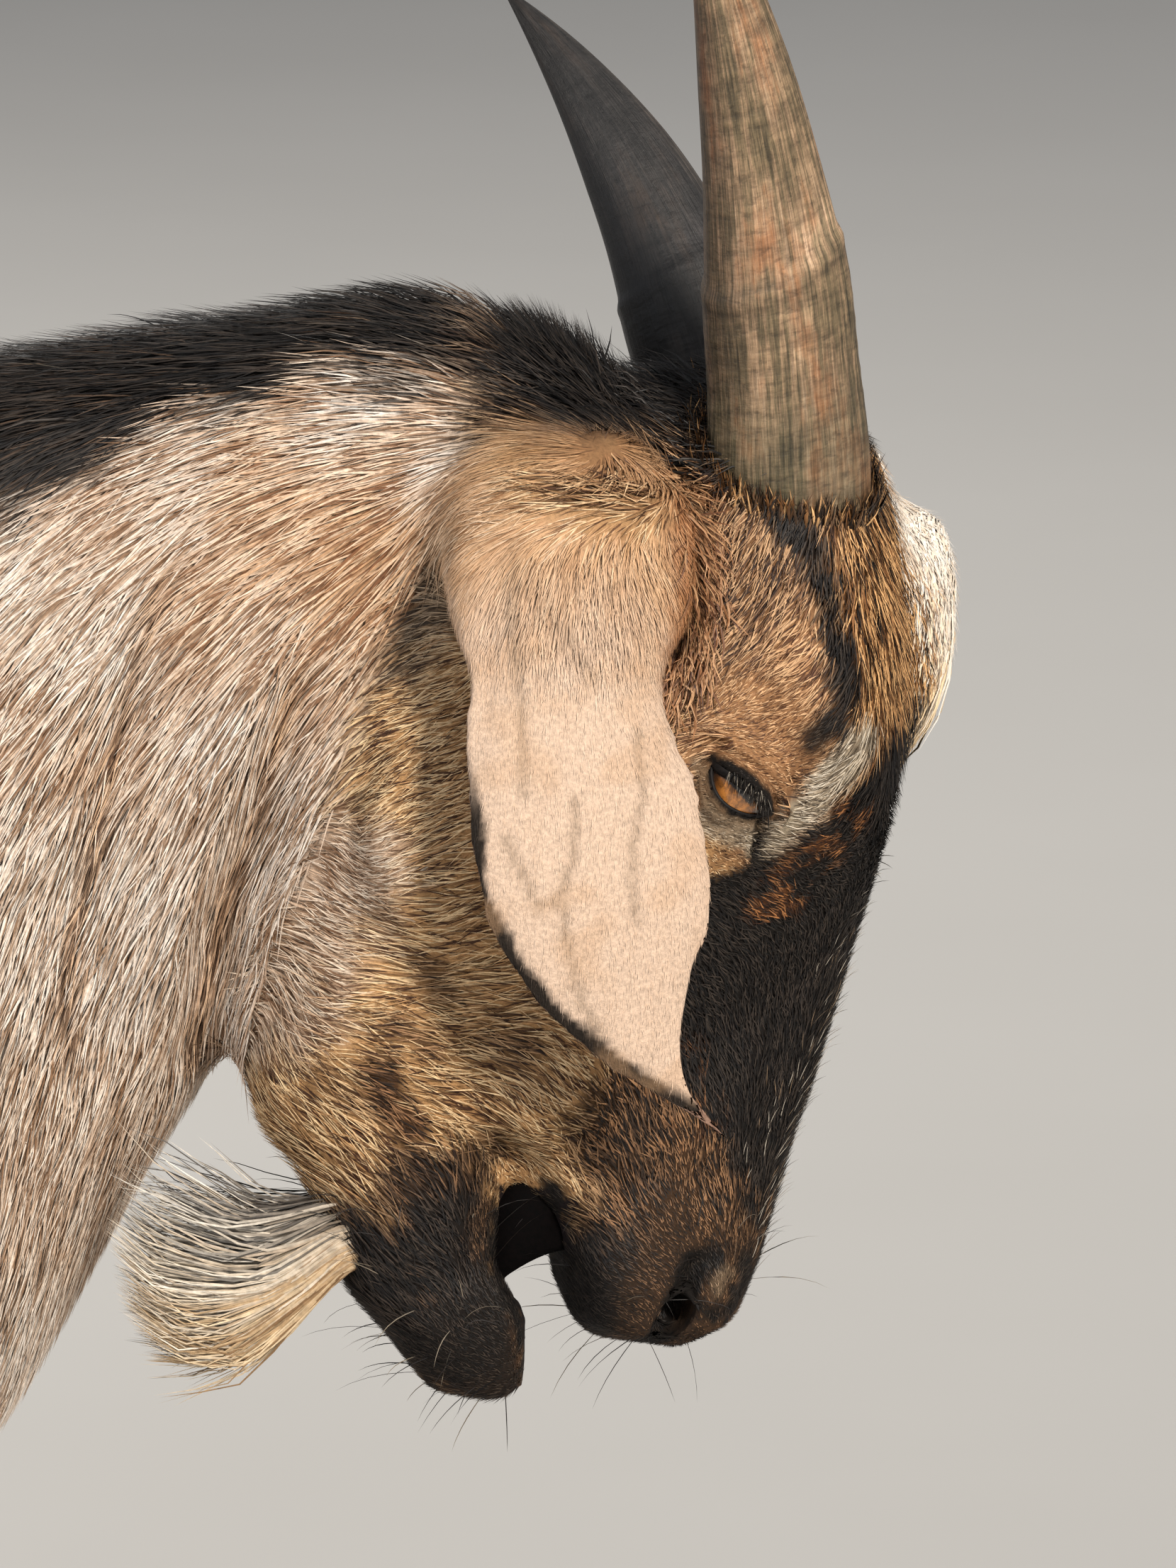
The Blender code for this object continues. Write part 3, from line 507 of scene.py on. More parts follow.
def nearest(tree, points):
    found = [tree.find_nearest(p) for p in points.tolist()]
    return np.array([(*f[0], *f[1]) for f in found]), np.array([f[2] for f in found])


flesh, fleshTree, fleshOwner = joinedFlesh()
melted = settled(flesh, ("REMESH", {"mode": "VOXEL", "voxel_size": skin["voxel"]}))
points, faces = arraysOf(melted)
spots = toHead(points)
onHead = (
    (spots[:, 0] > -30) & (spots[:, 2] > -125) & (spots[:, 2] < 110) & (np.abs(spots[:, 1]) < 115)
    & (spots[:, 0] < 290)
)
edges = edgesOf(faces)
nearEar = (np.abs(spots[:, 1]) > 52) & onHead
evening = skin["evening"]
fineShare = np.where(onHead, np.where(nearEar, evening["ear"], evening["head"]), evening["body"])
for _ in range(skin["rounds"]):  # rounds off the facets without shrinking
    points = spread(points, edges, 1, fineShare)
    points = spread(points, edges, 1, -fineShare * evening["back"])
d, s, n = spots.T
nearRoot = (d > -60) & (n > -125) & (np.abs(s) < 115)
rootShare = nearRoot * ease(np.abs(s), 22, 34) * fade(d, 26, 60) * fade(n, -18, -10) * 0.5
bladeShare = 0.5 * onHead * ease(np.abs(s), 50, 56) * ease(d, 44, 60)
lipShare = 0.5 * fade(np.linalg.norm((spots - np.array([247, 0, -27])) / (1, 1.6, 1), axis=1), 8, 15)
for share, rounds in ((rootShare, "rootRounds"), (bladeShare, "bladeRounds"), (lipShare, "lipRounds")):
    points = spread(points, edges[(share[edges] > 0).any(1)], skin[rounds], share)
melted.vertices.foreach_set("co", points.astype(np.float32).ravel())
thinning = {"ratio": skin["bodyKeep"], "vertex_group": "body", "use_collapse_triangulate": True}
thinned = settled(melted, ("DECIMATE", thinning), weights=np.where(onHead, 0.0, 1.0))
print("stage: skin", len(melted.polygons), "->", len(thinned.polygons))

# finer faces where the eyes, nostrils and lips need them
fineSpots = [
    # place in the head's frame, how far round it, how many times
    ((91, 50, 10), (19, 14.5)),
    ((229, 20, 18), (15, 10)),
    ((207, 18, -24), (13,)),
    ((232, 12, -16), (17,)),
]


def refined(mesh):
    bm = bmesh.new()
    bm.from_mesh(mesh)
    for level in range(2):
        at = toHead(np.array([v.co[:] for v in bm.verts]))
        at[:, 1] = np.abs(at[:, 1])
        chosen = np.zeros(len(at), bool)
        for spot, reaches in fineSpots:
            if level < len(reaches):
                chosen |= np.linalg.norm(at - np.array(spot), axis=1) < reaches[level]
        edges = [e for e in bm.edges if chosen[e.verts[0].index] and chosen[e.verts[1].index]]
        bmesh.ops.subdivide_edges(bm, edges=edges, cuts=1, use_grid_fill=True)
        bmesh.ops.triangulate(bm, faces=[f for f in bm.faces if len(f.verts) > 3])
        bm.verts.index_update()
    return meshOf(bm, "refined")


points, faces = arraysOf(refined(thinned))
edges = edgesOf(faces)
_, hitFace = nearest(fleshTree, points)
region = spread(np.eye(7)[fleshOwner[hitFace]], edges, 5)  # each point's shares in head, ear, neck and the rest
isEar = region[:, 1]
print("stage: skin points", len(points), "faces", len(faces))


# the opening of the lids
eye = {"half": 9.8, "upper": 2.2, "tilt": 0.16, "lower": 5.8, "slope": -0.12, "shift": -0.3}


def lidEdge(u, v):  # millimetres outside the opening of the lids
    u = u - eye["shift"]
    arch = np.clip(1 - (u / eye["half"]) ** 2, 0, 1)
    gap = np.maximum(
        v - (eye["upper"] + eye["tilt"] * u) * arch**0.8, -v - (eye["lower"] + eye["slope"] * u) * arch**0.75
    )
    return np.where(np.abs(u) > eye["half"], np.hypot(np.abs(u) - eye["half"], v), gap)


def eyeAxes(points, side):
    away = toHead(points) - skinEye(side)
    cu, cn = skin["eyeTurn"]
    return away[:, 0] * cu + away[:, 2] * cn, -away[:, 0] * cn + away[:, 2] * cu, away[:, 1] * side


def fromEyeAxes(u, v, w, side):
    cu, cn = skin["eyeTurn"]
    return fromHead(np.stack([u * cu - v * cn, side * w, u * cn + v * cu], axis=1) + skinEye(side))


def shapeLids(points):
    points = points.copy()
    radius, thick = skin["eyeRadius"], skin["lidThickness"]
    for side in (-1, 1):
        u, v, w = eyeAxes(points, side)
        far = np.hypot(u, v)
        near = np.flatnonzero((w > 1) & (far < 19))
        u, v, w, far = u[near], v[near], w[near], far[near]
        gap = lidEdge(u, v)
        slopeU = (lidEdge(u + 0.05, v) - gap) / 0.05
        slopeV = (lidEdge(u, v + 0.05) - gap) / 0.05
        snap = np.where(np.abs(gap) < 0.42, gap - 0.05, 0)
        u, v = u - snap * slopeU, v - snap * slopeV
        gap, far = lidEdge(u, v), np.hypot(u, v)
        above = ease(v, -1.5, 2.5)
        lid = np.sqrt(np.maximum((radius + thick + 0.7 * above) ** 2 - far**2, 4))
        proud = np.maximum(w, lid)
        shape = blend(lid, proud, ease(gap, 0.4, 6.5))
        # brow, fold and heavy lid
        shape += above * (bell(gap, 8.0, 2.6) * 2.2 + bell(gap, 1.6, 1.6) * 0.9 - bell(gap, 4.6, 1.0) * 1.3)
        shape += (1 - above) * (bell(gap, 4.5, 1.6) * 0.5 - bell(gap, 2.6, 0.7) * 0.5)
        inner = np.sqrt(np.maximum((radius - 1.6) ** 2 - far**2, 9))
        keep = ease(far, 15, 19)
        shape = blend(shape, w, keep)
        shape = np.where(gap < -0.02, inner, shape)
        points[near] = fromEyeAxes(u, v, shape, side)
    return points


# a bent furrow, or a ridge where depth is below 0
def groove(points, normals, line, width, depth, where, places=toHead):
    gap, along = farFrom(places(points)[:, (0, 2)], line)
    push = bell(gap, 0, width) * depth / 1000 * (0.35 + 0.65 * np.sin(pi * np.clip(along, 0.03, 0.97)))
    return points - normals * (push * where)[:, None]


earTrim = [
    # place in d and n on the edge of the ear, how far it is moved in d and n
    ((116, -62), (0, -3)), ((132, -52), (3, -5)), ((147, -38), (4, -4)), ((160, -20), (5, -3)), ((167, -5), (7, 0)),
    ((168, 0), (10, 12)), ((89, -7), (0, 4)), ((102, -6), (0, 6)), ((114, -5), (0, 8)), ((126, -5), (0, 7)),
    ((138, -4.5), (0, 6.5)), ((154, -3), (1, 4)), ((162, -1), (4, 7)),
]


def trimEars(points):
    spots = toHead(points)
    move, total = np.zeros((len(points), 2)), np.full(len(points), 0.25)
    for spot, shift in earTrim:
        share = np.exp(-((spots[:, (0, 2)] - np.array(spot)) ** 2).sum(1) / (2 * 8.0**2))
        move += share[:, None] * np.array(shift)
        total += share
    move *= (ease(isEar, 0.3, 0.8) * ease(spots[:, 0], 70, 90) / total)[:, None]
    return points + np.stack([move[:, 0], 0 * total, move[:, 1]], axis=1) @ headAxes.T / 1000


earLines = {
    "veinAndShadowLines": [
        [(33, -60.3), (42, -60), (51, -59), (61, -57.7), (76, -55.8), (92, -54)],
        [(28, -59.7), (36, -56.4), (42, -51.7), (48, -47), (54, -43.3), (62, -38)],
        [(92, -41), (99, -40.5), (107, -40.3), (117, -42.9), (127, -40.5), (137, -36.9), (145, -34), (152, -28)],
        [(121, -47.6), (118, -42.8)],
        [(74, -25), (90, -23), (106, -25), (122, -22)],
        [(104, -58), (114, -52), (121, -48)],
    ],
    "roll": [(43, -70), (50, -70.5), (58, -70.5), (71, -71.5), (84, -71.5)],
}
neckFolds = [
    [(261, 614), (255, 595), (247, 568), (240, 549), (236, 528), (232, 508)],
    [(226, 640), (214, 600), (205, 560), (200, 520)],
    [(292, 600), (281, 575), (270, 552), (262, 535)],
]


def shapeSkin(points):
    normals = normalsOf(points, faces)
    spots = toHead(points)
    side = np.sign(spots[:, 1])
    outer = ease((normals @ headAxes)[:, 1] * side, 0.1, 0.6) * ease(isEar, 0.5, 0.9)
    for line in earLines["veinAndShadowLines"]:
        points = groove(points, normals, line, 1.5, 1.1, outer)
        points = groove(points, normals, [(d, n + 2.6) for d, n in line], 1.8, -0.7, outer)
    points = groove(points, normals, earLines["roll"], 3.2, -1.6, outer)
    points = groove(points, normals, [(d, n + 6) for d, n in earLines["roll"]], 2.2, 1.2, outer)
    neckly = region[:, 2] + region[:, 3]
    for line, width, depth in zip(neckFolds, (6, 7, 6), (10, 5.5, 4.5)):
        points = groove(points, normals, line, width, depth, neckly, toBody)
        points = groove(points, normals, [(x - 11, z) for x, z in line], 8, -depth * 0.5, neckly, toBody)
    for line, width, depth in (
        ([(97, 17.5), (103, 17.8), (109, 18)], 1.5, 1.6),  # tear line
        ([(112, 8), (130, -2), (150, -8), (168, -6)], 5, 1.0),  # under the cheekbone
        ([(118, -4), (138, -12), (158, -14)], 5, -0.9),
        ([(205, -17), (199, -9), (196, 4), (200, 16)], 2.6, 0.9),  # behind the lip
        ([(196, -26), (190, -38), (188, -50)], 3.0, 0.9),
        ([(217, 22.5), (219, 18.5), (226, 16.5), (233, 14.5), (240, 11.5)], 2.7, 4.6),  # the nostril's long slit
        ([(218, 33), (224, 35), (230, 31), (233, 25)], 1.8, 1.6),
        ([(220, 26), (225, 24.5)], 3.0, -1.0),
    ):
        points = groove(points, normals, line, width, depth, region[:, 0])
    return points


points = shapeSkin(trimEars(shapeLids(points)))

# the coat's depth, length and width, kept on each point of the skin
coat = {
    # region: depth, length, width of a tuft (mm)
    "head": (1.7, 7.5, 0.62),
    "ear": (0.5, 4.2, 0.36),
    "neck": (3.2, 21.0, 0.54),
    "trunk": (4.5, 26.0, 1.35),
    "leg": (1.5, 9.0, 1.0),
    "tail": (5.0, 30.0, 1.3),
    "udder": (0.8, 6.0, 0.9),
}
depth, length, width = (region @ np.array(list(coat.values()))).T
earFoot = [(12, -45), (26, -45)]
headZones = [
    # line in d and n, reach, softness, (depth, length, width)
    ([(200, 30), (235, 20), (240, 0)], 22, 12, (0.7, 2.8, 0.40)),  # nose and upper lip
    ([(212, -28), (240, -26), (250, -40)], 16, 10, (0.8, 3.4, 0.42)),  # lower lip and chin
    ([(120, 45), (190, 40)], 24, 14, (1.2, 6.0, 0.55)),  # nose bridge
    ([(10, 52), (75, 60)], 26, 12, (2.6, 10.0, 0.68)),  # forehead
    ([(16, 4), (50, 12)], 14, 8, (2.6, 9.0, 0.62)),  # temple
    ([(78, 28), (66, 12)], 11, 10, (1.0, 3.0, 0.40)),  # brow
    ([(104, 2), (112, 12)], 9, 6, (0.9, 3.0, 0.40)),  # under the eye
    ([(120, -45), (165, -55), (190, -60)], 26, 12, (2.2, 11.5, 0.66)),  # cheek
    ([(150, -92), (215, -70)], 12, 8, (2.6, 13.0, 0.70)),  # jaw
    (earFoot, 30, 34, (2.2, 11.0, 0.55)),  # root of the ear
    ([(0, 6), (0, -40)], 16, 8, (4.5, 15.0, 0.8)),  # poll
    ([(91, 11)], 12.5, 3.5, (0.45, 2.6, 0.42)),  # lids
]
spots, bodySpots = toHead(points), toBody(points)
lidGap = np.minimum(
    *(np.where(eyeAxes(points, side)[2] > 0, lidEdge(*eyeAxes(points, side)[:2]), 99) for side in (-1, 1))
)
for line, reach, soft, (zoneDepth, zoneLength, zoneWidth) in headZones:
    # the ear's root takes in the ear and the neck
    owner = region[:, 0] + (region[:, 1] + region[:, 2] if line is earFoot else 0)
    share = fade(offLine(spots, line), reach - soft / 2, reach + soft / 2) * ease(owner, 0.4, 0.9)
    depth, length, width = (
        blend(depth, zoneDepth, share), blend(length, zoneLength, share), blend(width, zoneWidth, share)
    )
tuftHalf = np.interp(spots[:, 0], [0, 20, 50, 72, 92], [11, 16, 17, 13, 5])
frontTuft = (
    fade(offLine(spots, [(12, 62), (50, 72), (80, 70)]), 9, 15) * fade(np.abs(spots[:, 1]) - tuftHalf, -3, 4)
    * region[:, 0]
)
crestLine = [(0, 672), (110, 684), (190, 694), (250, 711), (294, 713), (335, 697), (360, 680)]
crest = (
    fade(offLine(bodySpots, crestLine), 14, 30) * fade(np.abs(bodySpots[:, 1] + 4), 14, 34)
    * (region[:, 2] + region[:, 3] + ease(-spots[:, 0], -25, 0) * region[:, 0])
)
crest = np.clip(crest, 0, 1) * ease(bodySpots[:, 0], -40, 60)
depth = blend(depth, 2.4, frontTuft)
depth = blend(depth, 7.0, crest * 0.8)
depth *= ease(lidGap, 0.2, 5)
normals = normalsOf(points, faces)
facing = np.abs((normals @ headAxes)[:, 2])
inMouth = (
    (spots[:, 0] > 203) & (spots[:, 2] > -31 + (spots[:, 0] - 210) * 0.25)
    & (spots[:, 2] < -14 + (spots[:, 0] - 210) * 0.14) & (region[:, 0] > 0.5) & (facing > 0.6)
)
depth = np.where(inMouth, 0.1, depth)
depth = spread(depth[:, None], edges, 4)[:, 0] * ease(lidGap, 0.1, 3)
points = points - normals * depth[:, None] / 1000
points = spread(points, edges, 2, 0.35 * ease(lidGap, 3, 6))
normals = normalsOf(points, faces)
spots, bodySpots = toHead(points), toBody(points)
print("stage: skin shaped")

earSpots = toHead(points[isEar > 0.6])
earSteps = np.arange(-10, 190, 2.0)
earRear = np.array([earSpots[np.abs(earSpots[:, 0] - d) < 1.6, 2].min(initial=20) for d in earSteps])
earRear = np.convolve(np.pad(earRear, 2, mode="edge"), (0.15, 0.2, 0.3, 0.2, 0.15), "valid")

# markings: each coat is three colours, dark, middle and light, that single hairs are picked from
hairs = {
    "tan": ((0.27, 0.15, 0.080), (0.75, 0.55, 0.40), (0.98, 0.86, 0.74)),
    "cream": ((0.38, 0.25, 0.16), (0.84, 0.69, 0.56), (0.98, 0.91, 0.83)),
    "orange": ((0.26, 0.11, 0.045), (0.66, 0.38, 0.19), (0.90, 0.64, 0.42)),
    "brown": ((0.04, 0.014, 0.005), (0.30, 0.15, 0.068), (0.74, 0.46, 0.25)),
    "forehead": ((0.012, 0.007, 0.003), (0.31, 0.135, 0.045), (0.95, 0.56, 0.25)),
    "brow": ((0.12, 0.045, 0.017), (0.52, 0.27, 0.125), (0.95, 0.60, 0.33)),
    "black": ((0.004, 0.003, 0.003), (0.012, 0.009, 0.007), (0.05, 0.038, 0.030)),
    "sooty": ((0.010, 0.006, 0.004), (0.055, 0.030, 0.016), (0.24, 0.13, 0.065)),
    "pale": ((0.12, 0.09, 0.06), (0.46, 0.37, 0.26), (0.85, 0.76, 0.62)),
    "dun": ((0.05, 0.032, 0.018), (0.24, 0.165, 0.100), (0.50, 0.38, 0.26)),
    "rust": ((0.020, 0.008, 0.005), (0.13, 0.050, 0.018), (0.46, 0.20, 0.070)),
    "muzzle": ((0.008, 0.005, 0.003), (0.070, 0.035, 0.016), (0.38, 0.205, 0.100)),
    "cheek": ((0.070, 0.025, 0.008), (0.66, 0.37, 0.160), (1.0, 0.74, 0.43)),
    "ring": ((0.016, 0.008, 0.004), (0.11, 0.052, 0.022), (0.40, 0.21, 0.100)),
    "earRoot": ((0.34, 0.17, 0.075), (0.70, 0.43, 0.24), (0.95, 0.70, 0.48)),
    "ear": ((0.74, 0.52, 0.37), (0.81, 0.60, 0.45), (0.88, 0.70, 0.56)),
    "earRim": ((0.010, 0.007, 0.005), (0.024, 0.017, 0.012), (0.09, 0.06, 0.04)),
    "fringe": ((0.10, 0.030, 0.010), (0.42, 0.19, 0.080), (0.74, 0.42, 0.21)),
    "white": ((0.80, 0.66, 0.52), (0.92, 0.83, 0.71), (0.98, 0.93, 0.86)),
    "peach": ((0.72, 0.44, 0.20), (0.88, 0.62, 0.33), (0.97, 0.80, 0.54)),
    "pinkSkin": ((0.30, 0.16, 0.11), (0.45, 0.27, 0.19), (0.60, 0.42, 0.31)),
    "beardGold": ((0.26, 0.15, 0.07), (0.62, 0.43, 0.24), (0.90, 0.72, 0.48)),
    "beardWhite": ((0.50, 0.40, 0.29), (0.80, 0.69, 0.54), (0.97, 0.90, 0.78)),
    "beardGrey": ((0.05, 0.045, 0.040), (0.20, 0.18, 0.16), (0.80, 0.74, 0.64)),
}
faceMarks = [
    # coat, line in d and n, reach, softness, most
    ("cheek", [(100, -40), (150, -34), (185, -36)], 50, 16, 1.0),
    ("cheek", [(150, -90), (200, -80)], 22, 10, 1.0),
    ("tan", [(120, -88), (160, -100)], 14, 14, 0.75),
    ("brow", [(70, 16), (58, 30), (86, 4)], 15, 9, 1.0),
    ("forehead", [(14, 52), (50, 55), (80, 56)], 22, 10, 1.0),
    ("ring", [(150, -58), (143, -64)], 4, 6, 0.85),
    ("ring", [(163, -34), (160, -44)], 4, 6, 0.85),
    ("ring", [(170, -58), (164, -62), (160, -70)], 2.5, 4, 0.9),
    ("ring", [(172, -72), (181, -69), (187, -63)], 5.5, 5, 1.0),
    ("sooty", [(198, -50), (192, -38), (202, -62)], 6, 7, 0.9),
    ("muzzle", [(185, 5), (205, 14), (225, 6)], 25, 10, 1.0),
    ("sooty", [(176, 2), (188, -6), (196, 4)], 7, 7, 0.8),
    ("cheek", [(200, -17), (199, -27), (204, -33)], 4.5, 5, 0.9),
    ("sooty", [(208, -50), (222, -52), (240, -42), (225, -70)], 16, 8, 1.0),
    ("black", [(216, -46), (240, -36), (250, -34), (243, -60), (228, -66)], 15, 10, 0.95),
    ("muzzle", [(206, -37), (214, -39), (221, -39)], 2.0, 5, 0.6),
    ("black", [(206, -29), (214, -31.5), (223, -31), (234, -28), (244, -24)], 3.5, 4, 1.0),
    ("black", [(222, -4), (240, 0), (236, -10)], 10, 10, 0.9),
    ("sooty", [(214, 12), (236, 8), (244, 16)], 9, 9, 0.8),
    ("sooty", [(212, 30), (226, 30), (236, 24)], 9, 8, 0.7),
    # the nostril: black painted shade in its opening and slits, and a lighter dun painted highlight on its wing
    ("black", [(217, 22.5), (219, 18.5), (226, 16.5), (233, 14.5), (241, 11.5)], 4.2, 3.5, 1.0),
    ("black", [(218, 33), (224, 35.5), (230, 31), (233, 25)], 2.8, 3.5, 0.95),
    ("dun", [(222, 26.5), (225, 25)], 2.4, 3, 0.6),
    ("black", [(204, -22), (213, -14.5), (227, -9), (238, -5)], 4.0, 5, 1.0),
    ("black", [(14.8, 17.5), (27, 23.5), (43, 31.7), (62, 37), (73, 35)], 3.4, 5, 1.0),
    ("black", [(54, 34), (66, 33), (76, 29)], 4.5, 6, 0.95),
    ("black", [(8, -2), (13, 8), (17, 20), (20, 32), (16, 46)], 5, 8, 0.95),
    ("black", [(17, 18), (30, 26)], 5.5, 8, 0.9),
    ("pale", [(76, 42), (86, 36), (93, 31), (99, 25.5), (105, 19.5)], 5.0, 4, 1.0),
    ("pale", [(99, 3), (101, 9), (103, 14)], 4.2, 5, 0.8),
]
# d and n: the black bridge of the nose starts above this line
noseEdge = [
    (-60, 90), (60, 78), (72, 60), (80, 49), (90, 40.5), (96, 35.5), (101, 31.5), (105.5, 26.5), (109.5, 19.5),
    (112, 13), (114, 7), (116, -4), (150, -4), (170, 2), (178, 14), (187, 23), (197, 31), (212, 37), (228, 35),
    (250, 32)
]
# x and z on the body: the dark line along the back
backEdge = [
    (-520, 636), (-300, 668), (0, 643), (100, 634), (184, 655), (203, 662), (221, 672), (246, 683), (268, 691),
    (294, 689), (312, 681), (323, 673), (340, 663), (360, 657), (380, 652)
]
# x and z on the body: the dark crown behind the horns
crownEdge = [
    (270, 692), (298, 690), (312, 684), (323, 677), (330, 672), (340, 670), (349, 668), (360, 662), (380, 652)
]


def markings(points, region, normals):
    spots, bodySpots = toHead(points), toBody(points)
    ragged = wobble(points, 0.016, 3, 3)
    fine = wobble(points, 0.006, 5, 2)
    shades = np.tile(np.array(hairs["tan"]).reshape(1, 9), (len(points), 1))

    def lay(name, share):
        nonlocal shades
        shades = blend(shades, np.array(hairs[name]).reshape(1, 9), np.clip(share, 0, 1)[:, None])

    def near(line, low, high):
        return fade(offLine(spots, line), low, high)

    # body
    x, _, z = bodySpots.T
    lay("cream", ease(wobble(points, 0.09, 21), -0.2, 0.7) * 0.8 * ease(x, 0, 90))
    lay("cream", fade(z, 380, 470) * 0.8)
    lay("dun", 0.35 * ease(wobble(points, 0.14, 22), 0.0, 0.6) * (1 - 0.6 * ease(x, 60, 160)))
    lay("orange", 0.55 * ease(wobble(points, 0.045, 23), -0.1, 0.6) * ease(x, 170, 250) * ease(z, 560, 640))
    lay(
        "orange",
        0.75 * fade(offLine(bodySpots, [(262, 655), (300, 640), (318, 610)]) + 6 * ragged, 8, 30) * (x > 150)
    )
    lay("cheek", 0.8 * ease(x + 6 * ragged, 268, 300) * fade(z + 8 * ragged, 520, 560))
    # painted shade: the coat is darkened brown along the neck's folds
    for line in neckFolds:
        lay("brown", 0.8 * fade(offLine(bodySpots, line), 0.5, 5) * (region[:, 2] + region[:, 3]))
    # legs: dark fronts and shanks
    leg = region[:, 4]
    forward = normals[:, 0]
    lay("brown", leg * 0.6)
    lay("sooty", leg * fade(z, 60, 150) * 0.8)
    lay("black", leg * ease(forward + 0.25 * ragged, 0.1, 0.6) * fade(z, 290, 350))
    lay("black", leg * fade(z + 10 * ragged, 48, 66) * 0.8)
    # dark line along the back, wide on the withers, and the mane
    spine = ease(z + 4.5 * ragged + 3 * fine - np.interp(x, *zip(*backEdge)), -4, 4) * (region[:, 3] + region[:, 2])
    lay("black", spine)
    lay("sooty", spine * ease(fine, 0.2, 0.8) * 0.3 * (x < 230))
    # head
    d, s, n = spots.T
    head = np.clip(region[:, 0] * 1.6, 0, 1)
    lay("brown", head)
    # painted shade: the tan coat behind the cheek is painted in its shaded grey-brown
    lay("dun", head * fade(n, -74, -46) * fade(d, 96, 130))
    crown = ease(z + 4 * ragged - np.interp(x, *zip(*crownEdge)), -4, 4)
    for name, line, reach, soft, most in faceMarks:
        gap = offLine(spots, line) + ragged * soft * 0.35 + fine * soft * 0.2
        lay(name, head * most * fade(gap, reach - soft / 2, reach + soft / 2))
    lay(
        "ring",
        head * 0.35 * ease(wobble(points, 0.022, 8), 0.3, 0.6) * ease(d, 120, 145) * fade(d, 190, 205)
        * fade(n, -40, -10)
    )
    over = n - np.interp(d, *zip(*noseEdge)) + ragged * 2.5 + fine * 2
    bridge = head * ease(over + ragged * 3 * ease(d, 120, 150) + fine * 2.5 * ease(d, 120, 150), -3, 3.5)
    lay("black", bridge)
    lay(
        "rust",
        bridge * ease(wobble(points, 0.012, 9) + 0.25, 0.15, 0.6)
        * near([(96, 44), (105, 37), (114, 31), (122, 26)], 4, 10)
    )
    lay("rust", head * ease(fine, 0.3, 0.8) * 0.5 * near([(178, 12), (168, 6)], 7, 14))
    lay("black", head * near([(97, 17.5), (103, 17.8), (108.5, 18), (113, 19)], 1.0, 2.6))
    lay(
        "black",
        head * fade(n + d * 0.2, -18, 18) * ease(-d, -18, 6) * ease(66 - np.abs(s), 0, 12) * ease(n, -60, -20)
    )
    lay("black", head * fade(d + ragged * 3, -2, 8) * ease(n, -22, 2))
    lay("black", head * crown * fade(d, 0, 10))
    for eyeSide in (-1, 1):
        u, v, w = eyeAxes(points, eyeSide)
        gap = np.where(w > 0, lidEdge(u, v), 99)
        lay("brown", 0.7 * fade(gap + ragged * 2, 3, 8) * ease(v, -2, 2))
        lay("dun", 0.8 * fade(gap + ragged * 2, 2.5, 6) * fade(v, -3, 1))
        # black lid skin round the opening, widened above it by painted shade under the upper lid
        lay("black", fade(gap + fine * 0.6, 0.6 + 1.5 * ease(v, -1, 3), 1.6 + 2.0 * ease(v, -1, 3)))
    tuft = (
        near([(14, 58), (50, 68), (80, 67)], 13, 18)
        * fade(np.abs(s) - np.interp(d, [0, 20, 50, 72, 92], [10, 15, 16, 12, 4]), -3, 3)
    )
    lay("white", head * tuft)
    lay("peach", head * tuft * ease(d, 52, 78))
    lay("black", head * near([(96, 70), (110, 66)], 3, 8) * ease(d, 84, 90))
    # ears
    ear = np.clip(region[:, 1] * 1.5, 0, 1)
    atRoot = near([(14, -45), (34, -45)], 24, 36) * ease(np.abs(s), 40, 50) * fade(n, -16, -8)
    root = np.clip(ear + head * atRoot, 0, 1)
    lay("earRoot", root)
    whorl = offLine(spots, [(4, -40), (8, -26)]) + 5 * ragged
    lay("cheek", root * 0.8 * fade(whorl, 12, 34))
    lay("brown", root * 0.75 * fade(whorl + 4 * fine, 5, 20))
    lay("brown", root * 0.8 * fade(d + 5 * ragged, -8, 6))
    lay("black", root * crown * fade(d, -4, 6))
    lay("ear", ear * ease(d + 8 * ragged, 24, 76))
    rim = (n - np.interp(d, earSteps, earRear)) / np.hypot(1, np.interp(d, earSteps, np.gradient(earRear, earSteps)))
    rimLow, rimHigh = (np.interp(d, [80, 104, 150], widths) for widths in ([0.5, 2.4, 4.2], [1.2, 4.2, 6.0]))
    lay("earRim", ear * fade(rim + 0.4 * fine, rimLow, rimHigh) * ease(d, 80, 100))
    lay("earRim", ear * 0.9 * ease(d, 166, 172))
    veinAndShadowLines = np.min([offLine(spots, line) for line in earLines["veinAndShadowLines"]], axis=0)
    # painted shadows of branches: dun lines laid along the vein grooves
    lay("dun", ear * 0.42 * fade(veinAndShadowLines, 0.3, 2.2))
    lay("earRoot", ear * 0.30 * ease(wobble(points, 0.03, 14), 0.1, 0.8))
    inward = ease(-(normals @ headAxes)[:, 1] * np.sign(s), 0.2, 0.6)
    lay("pinkSkin", ear * inward * ease(d, 40, 60) * 0.8)
    lay("fringe", root * fade(-12 - n - fine * 2, 1, 9) * fade(d, 58, 70) * ease(d, -8, 4))
    # throat, beard root, udder and tail
    lay("pinkSkin", region[:, 6] * 0.85)
    lay("black", region[:, 5] * ease(normals[:, 0] * -1 + normals[:, 2], -0.2, 0.4) * 0.85)
    return shades.reshape(-1, 3, 3)


def picked(shades, chance):  # one colour for each hair: 0 dark, 0.5 middle, 1 light
    chance = chance[:, None]
    low = blend(shades[:, 0], shades[:, 1], np.clip(chance * 2, 0, 1))
    return blend(low, shades[:, 2], np.clip(chance * 2 - 1, 0, 1))


skinColour = picked(markings(points, region, normals), np.full(len(points), 0.40)) * 0.9
skinColour[lidGap < 0.15] = (0.006, 0.005, 0.005)
